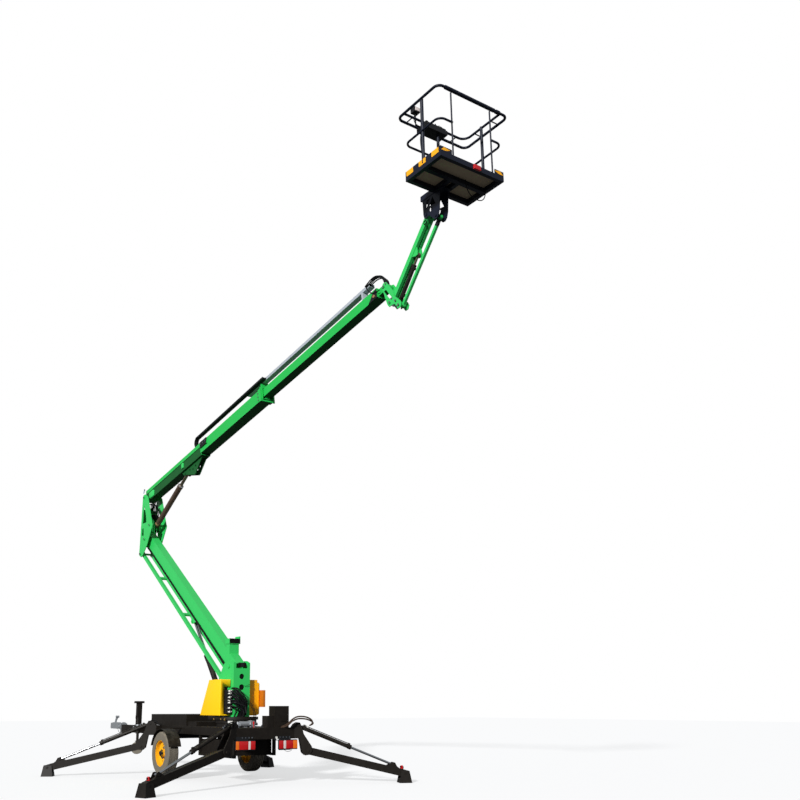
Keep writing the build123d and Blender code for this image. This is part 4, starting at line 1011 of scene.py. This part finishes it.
class BOOMLIFT_OT_chassis_fittings(bpy.types.Operator):
    """Hoses, wires and knobs on the chassis and its outriggers, the jockey clamp and the breakaway cable."""

    bl_idname = "boomlift.chassis_fittings"
    bl_label = "Chassis fittings"

    def execute(self, context):
        bm = bmesh.new()
        for y, z in ((0.3, 0.872), (-0.06, 0.872)):
            put_box(bm, (-0.4, y - 0.026, z - 0.045), (-0.345, y + 0.026, z + 0.045), bevel=0.004)
        put_rod(bm, (-0.62, 0.03, 0.82), (-0.62, 0.03, 0.905), 0.006, 1, 10)
        put_rod(bm, (-0.62, 0.03, 0.868), (-0.62, 0.03, 0.908), 0.014, 1, 14)
        put_rod(bm, (-0.7, -0.1, 0.82), (-0.7, -0.1, 0.852), 0.04, 2, 24)
        put_rod(bm, (-0.7, -0.1, 0.852), (-0.7, -0.1, 0.868), 0.04, 2, 24, 0.018)
        put_rod(bm, (-0.945, -0.155, 0.69), (-0.945, -0.155, 0.65), 0.018, 2, 12)
        put_box(bm, (-0.97, -0.185, 0.66), (-0.945, -0.155, 0.695), bevel=0.003)
        finish_mesh("slew_fittings", bm, "white_fitting lens_red moulded_black", "chassis")
        wires = [
            (0.006, [
                (-0.986, -0.28, 0.52), (-0.988, -0.3, 0.485), (-0.988, -0.36, 0.474), (-0.988, -0.41, 0.487),
                (-0.986, -0.43, 0.52),
            ]),
            (0.01, [
                (-0.95, -0.14, 0.7), (-0.955, -0.13, 0.66), (-0.955, -0.15, 0.64), (-0.955, -0.19, 0.646),
                (-0.955, -0.21, 0.64),
            ]),
            (0.014, [
                (-0.3, 0.2, 0.9), (-0.45, 0.28, 0.905), (-0.62, 0.4, 0.875), (-0.8, 0.5, 0.86), (-0.93, 0.6, 0.865),
            ]),
            (0.014, [
                (-0.3, 0.16, 0.9), (-0.45, 0.25, 0.895), (-0.62, 0.37, 0.868), (-0.8, 0.47, 0.85), (-0.93, 0.58, 0.855),
            ]),
            (0.012, [
                (-0.35, -0.02, 0.87), (-0.5, -0.02, 0.85), (-0.6, 0.1, 0.84), (-0.55, 0.22, 0.835), (-0.4, 0.24, 0.85),
            ]),
        ]
        hoses("chassis_wires", wires, "chassis")
        routes = []
        for lift, y in ((0.0, 0.0), (-0.032, 0.012)):
            routes.append((0.022, [
                (-0.8, -0.3 + y, 0.82), (-1.0, -0.321 + y, 0.85 + lift), (-1.04, -0.375 + y, 0.935 + lift),
                (-1.05, -0.46, 0.982 + lift), (-1.05, -0.554, 0.986 + lift), (-1.05, -0.66 - y, 0.972 + lift),
                (-1.05, -0.752 - y, 0.925 + lift), (-1.048, -0.752 - y, 0.872), (-1.04, -0.7, 0.849),
            ]))
        hoses("rear_right_hoses", routes, "chassis", "hose_worn")
        routes = []
        for lift in (0.0, -0.028):
            for side in (1, -1):
                routes.append((0.015, [
                    (1.7, side * 0.56, 0.83), (1.76, side * 0.58, 0.89 + lift), (1.82, side * 0.605, 0.915 + lift),
                    (1.87, side * 0.635, 0.905 + lift), (1.89, side * 0.655, 0.87),
                ]))
            routes.append((0.015, [
                (-0.8, 0.43, 0.825), (-0.9, 0.48, 0.88 + lift), (-0.98, 0.56, 0.91 + lift), (-1.04, 0.65, 0.9 + lift),
                (-1.05, 0.71, 0.88 + lift), (-1.03, 0.72, 0.86),
            ]))
        hoses("leg_hoses", routes, "chassis")
        for corner in CORNERS:
            bm = bmesh.new()
            for s in (-0.03, 0.012):
                spot = leg(corner, s, 0.0, 0.845 - 0.39 * (s + 0.15))
                put_rod(bm, spot + Vector((0, 0, 0.027)), spot + Vector((0, 0, 0.05)), 0.011, 0, 6)
                put_rod(bm, spot + Vector((0, 0, 0.05)), spot + Vector((0, 0, 0.064)), 0.014, 0, 6)
            finish = "white_fitting" if corner == "rear_right" else "zinc_bolt"
            finish_mesh("ports_" + corner, bm, finish, "barrel_" + corner)
        bm = bmesh.new()
        put_rod(bm, (3.53, 0.2, 0.775), (3.53, 0.2, 0.8), 0.04, 0, 20)
        put_rod(bm, (3.53, 0.24, 0.74), (3.53, 0.285, 0.74), 0.008, 0, 10)
        put_rod(bm, (3.53, 0.285, 0.715), (3.53, 0.285, 0.765), 0.01, 0, 10)
        finish_mesh("jockey_clamp", bm, "cast_zinc", "chassis")
        tube("breakaway_cable", 0.007, "chassis", [
            (4.98, 0.045, 0.7), (4.9, 0.06, 0.64), (4.76, 0.065, 0.6), (4.62, 0.06, 0.61), (4.52, 0.055, 0.66),
            (4.48, 0.052, 0.7),
        ])
        return {"FINISHED"}


class BOOMLIFT_OT_boom_hoses(bpy.types.Operator):
    """Hoses, plates, rings and a sensor along the booms, and the bundles at the elbow, the tip and the jib."""

    bl_idname = "boomlift.boom_hoses"
    bl_label = "Boom hoses"

    def execute(self, context):
        routes = []
        for k in range(4):
            y = 0.058 + 0.013 * k
            run = (
                (0.25, -0.13), (0.5, -0.124), (1.2, -0.122), (2.2, -0.118), (3.2, -0.118), (4.2, -0.118),
                (4.42, -0.125),
            )
            routes.append((0.018, [lower(x, y, n) for x, n in run]))
        hoses("lower_boom_hoses", routes, "lower_boom")
        routes = []
        for k in range(7):
            y = -0.085 + 0.028 * k
            z = 0.012 * (k % 3)
            routes.append((0.02, [
                (3.59 + z, y, 4.5), (3.585 + z, y * 0.9, 4.56), (3.605 + z, y, 4.63), (3.63 + z, y * 1.1, 4.72),
                (3.66 - z, y, 4.84), (3.62 + z, y * 1.1, 4.96), (3.66 - z, y * 0.8, 5.05), (3.69, y * 0.8, 5.08),
            ]))
        for k in range(3):
            y = 0.066 + 0.018 * k
            routes.append((0.018, [
                (3.68, y, 4.92), (3.53, y, 4.96), (3.46, y, 5.03 - 0.01 * k), (3.53, y, 5.09 - 0.01 * k),
                (3.66, y, 5.07),
            ]))
        routes.append((0.016, ring(lambda a, b: (3.4 + a, 0.074, 5.035 + b), 0.05, 1.2)))
        hoses("elbow_hoses", routes, "elbow")
        bm = bmesh.new()
        put_box(bm, (3.6, -0.07, 4.78), (3.7, 0.07, 4.86), bevel=0.004)
        finish_mesh("elbow_clamps", bm, "dark_cavity", "elbow")
        bm = bmesh.new()
        put_rod(bm, (3.85, 0.166, 5.33), (3.812, 0.166, 5.388), 0.009, 0, 14)
        put_rod(bm, (3.812, 0.166, 5.388), (3.802, 0.166, 5.403), 0.012, 1, 14)
        finish_mesh("elbow_sensor", bm, "sensor_blue moulded_black", "elbow")
        bm = bmesh.new()
        for outline, y in (
            (((0.1, -0.062), (0.34, -0.062), (0.36, 0.03), (0.3, 0.072), (0.1, 0.072)), 0.096),
            (((1.66, -0.03), (1.75, -0.03), (1.75, 0.06), (1.7, 0.075), (1.66, 0.06)), 0.104),
        ):
            for side in (1, -1):
                put_prism(bm, upper_outline(outline), *sorted((side * 0.087, side * y)), 0, 0.003, 2)
        finish_mesh("root_plates", bm, "enamel_green", "upper_boom")
        foot = on_plane(PIN_C)
        line = (on_plane(PIN_V) - foot).normalized()
        bm = bmesh.new()
        put_rod(bm, foot + line * 0.05, foot + line * 0.082, 0.0535, 0, 32)
        put_rod(bm, foot + line * 1.196, foot + line * 1.234, 0.0535, 1, 32)
        finish_mesh("upper_cylinder_rings", bm, "grease_tan cast_zinc", "upper_barrel")
        routes = []
        for k in range(5):
            y = -0.034 + 0.017 * k
            lift = 0.014 * (k % 3)
            routes.append((0.017, [
                upper(7.58, y, 0.345), upper(7.68, y, 0.36 + lift), upper(7.77, y, 0.366 + lift),
                upper(7.87, y * 1.2, 0.33 + lift), upper(7.95, y * 1.3, 0.262 + lift), upper(8.0, y * 1.3, 0.19),
                upper(8.0, y, 0.12),
            ]))
        routes.append((0.014, [
            upper(7.6, 0.045, 0.335), upper(7.66, 0.075, 0.26), upper(7.7, 0.084, 0.16), upper(7.8, 0.086, 0.08),
            upper(7.93, 0.086, 0.06),
        ]))
        hoses("tip_hoses", routes, "inner_boom")
        bm = bmesh.new()
        put_prism(bm, upper_outline(((7.66, 0.0), (7.8, 0.12), (7.857, 0.139), (7.857, 0.0))), 0.0762, 0.08)
        put_rod(bm, upper(7.8, 0.076, 0.04), upper(7.8, 0.094, 0.04), 0.02, 1, 20)
        finish_mesh("boom_end_plate", bm, "moulded_black grease_tan", "inner_boom")
        routes = [(0.012, ring(lambda a, b: jib(1.09 + a, 0.056, -0.022 + b), 0.026))]
        routes.append((0.014, [
            jib(0.1, 0.0, 0.045), jib(0.2, 0.0, 0.03), jib(0.6, 0.0, 0.022), jib(1.0, 0.0, 0.022),
            jib(1.08, 0.01, 0.005),
        ]))
        hoses("jib_hoses", routes, "jib_arm")
        along = jib(1, 0, 0) - jib(0, 0, 0)
        pins = []
        for x, z in (PIN_Q, PIN_J, PIN_S, PIN_G):
            pins += [((x, side * 0.084, z), (0, side, 0)) for side in (1, -1)]
        for x, z in ((-4.105, 6.59), (-4.045, 6.56), (-4.225, 6.33), (-4.26, 6.215), (-4.33, 6.18)):
            pins += [((x, side * 0.071, z), (0, side, 0)) for side in (1, -1)]
        bolts("tip_link_bolts", "tip_link", pins, 0.02)
        start = on_plane(PIN_S)
        bm = bmesh.new()
        put_rod(bm, start + along * 1.07, start + along * 1.152, 0.0275, 0, 20)
        finish_mesh("jib_rod_clevis", bm, "moulded_black", "jib_rod")
        return {"FINISHED"}


class BOOMLIFT_PT_panel(bpy.types.Panel):
    """Sizes, colours and steps of the boom lift."""

    bl_idname = "BOOMLIFT_PT_panel"
    bl_label = "Boom Lift"
    bl_space_type = "VIEW_3D"
    bl_region_type = "UI"
    bl_category = "Boom Lift"

    def draw(self, context):
        column = self.layout.column()
        for group in (context.scene.lift_colours, context.scene.lift_sizes):
            for key in group.__annotations__:
                column.prop(group, key)
        for step in STEPS:
            column.operator(step.bl_idname)


STEPS = (
    BOOMLIFT_OT_finishes,
    BOOMLIFT_OT_stage,
    BOOMLIFT_OT_paint_nodes,
    BOOMLIFT_OT_wheels,
    BOOMLIFT_OT_drag_chain,
    BOOMLIFT_OT_lamps,
    BOOMLIFT_OT_bolts,
    BOOMLIFT_OT_platform,
    BOOMLIFT_OT_turret,
    BOOMLIFT_OT_chassis_fittings,
    BOOMLIFT_OT_boom_hoses,
)
CLASSES = (LiftColours, LiftSizes) + STEPS + (BOOMLIFT_PT_panel,)


def register():
    """Registers the classes and the scene's settings."""
    for item in CLASSES:
        bpy.utils.register_class(item)
    bpy.types.Scene.lift_colours = bpy.props.PointerProperty(type=LiftColours)
    bpy.types.Scene.lift_sizes = bpy.props.PointerProperty(type=LiftSizes)


def unregister():
    """Takes the classes and the scene's settings away again."""
    del bpy.types.Scene.lift_sizes
    del bpy.types.Scene.lift_colours
    for item in reversed(CLASSES):
        bpy.utils.unregister_class(item)


def main():
    """Builds the scene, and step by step."""
    register()
    for step in STEPS:
        group, name = step.bl_idname.split(".")
        done = getattr(getattr(bpy.ops, group), name)()
        if done != {"FINISHED"}:
            raise RuntimeError("step did not finish: " + step.bl_idname)
    bpy.context.view_layer.update()


if __name__ == "__main__":
    main()
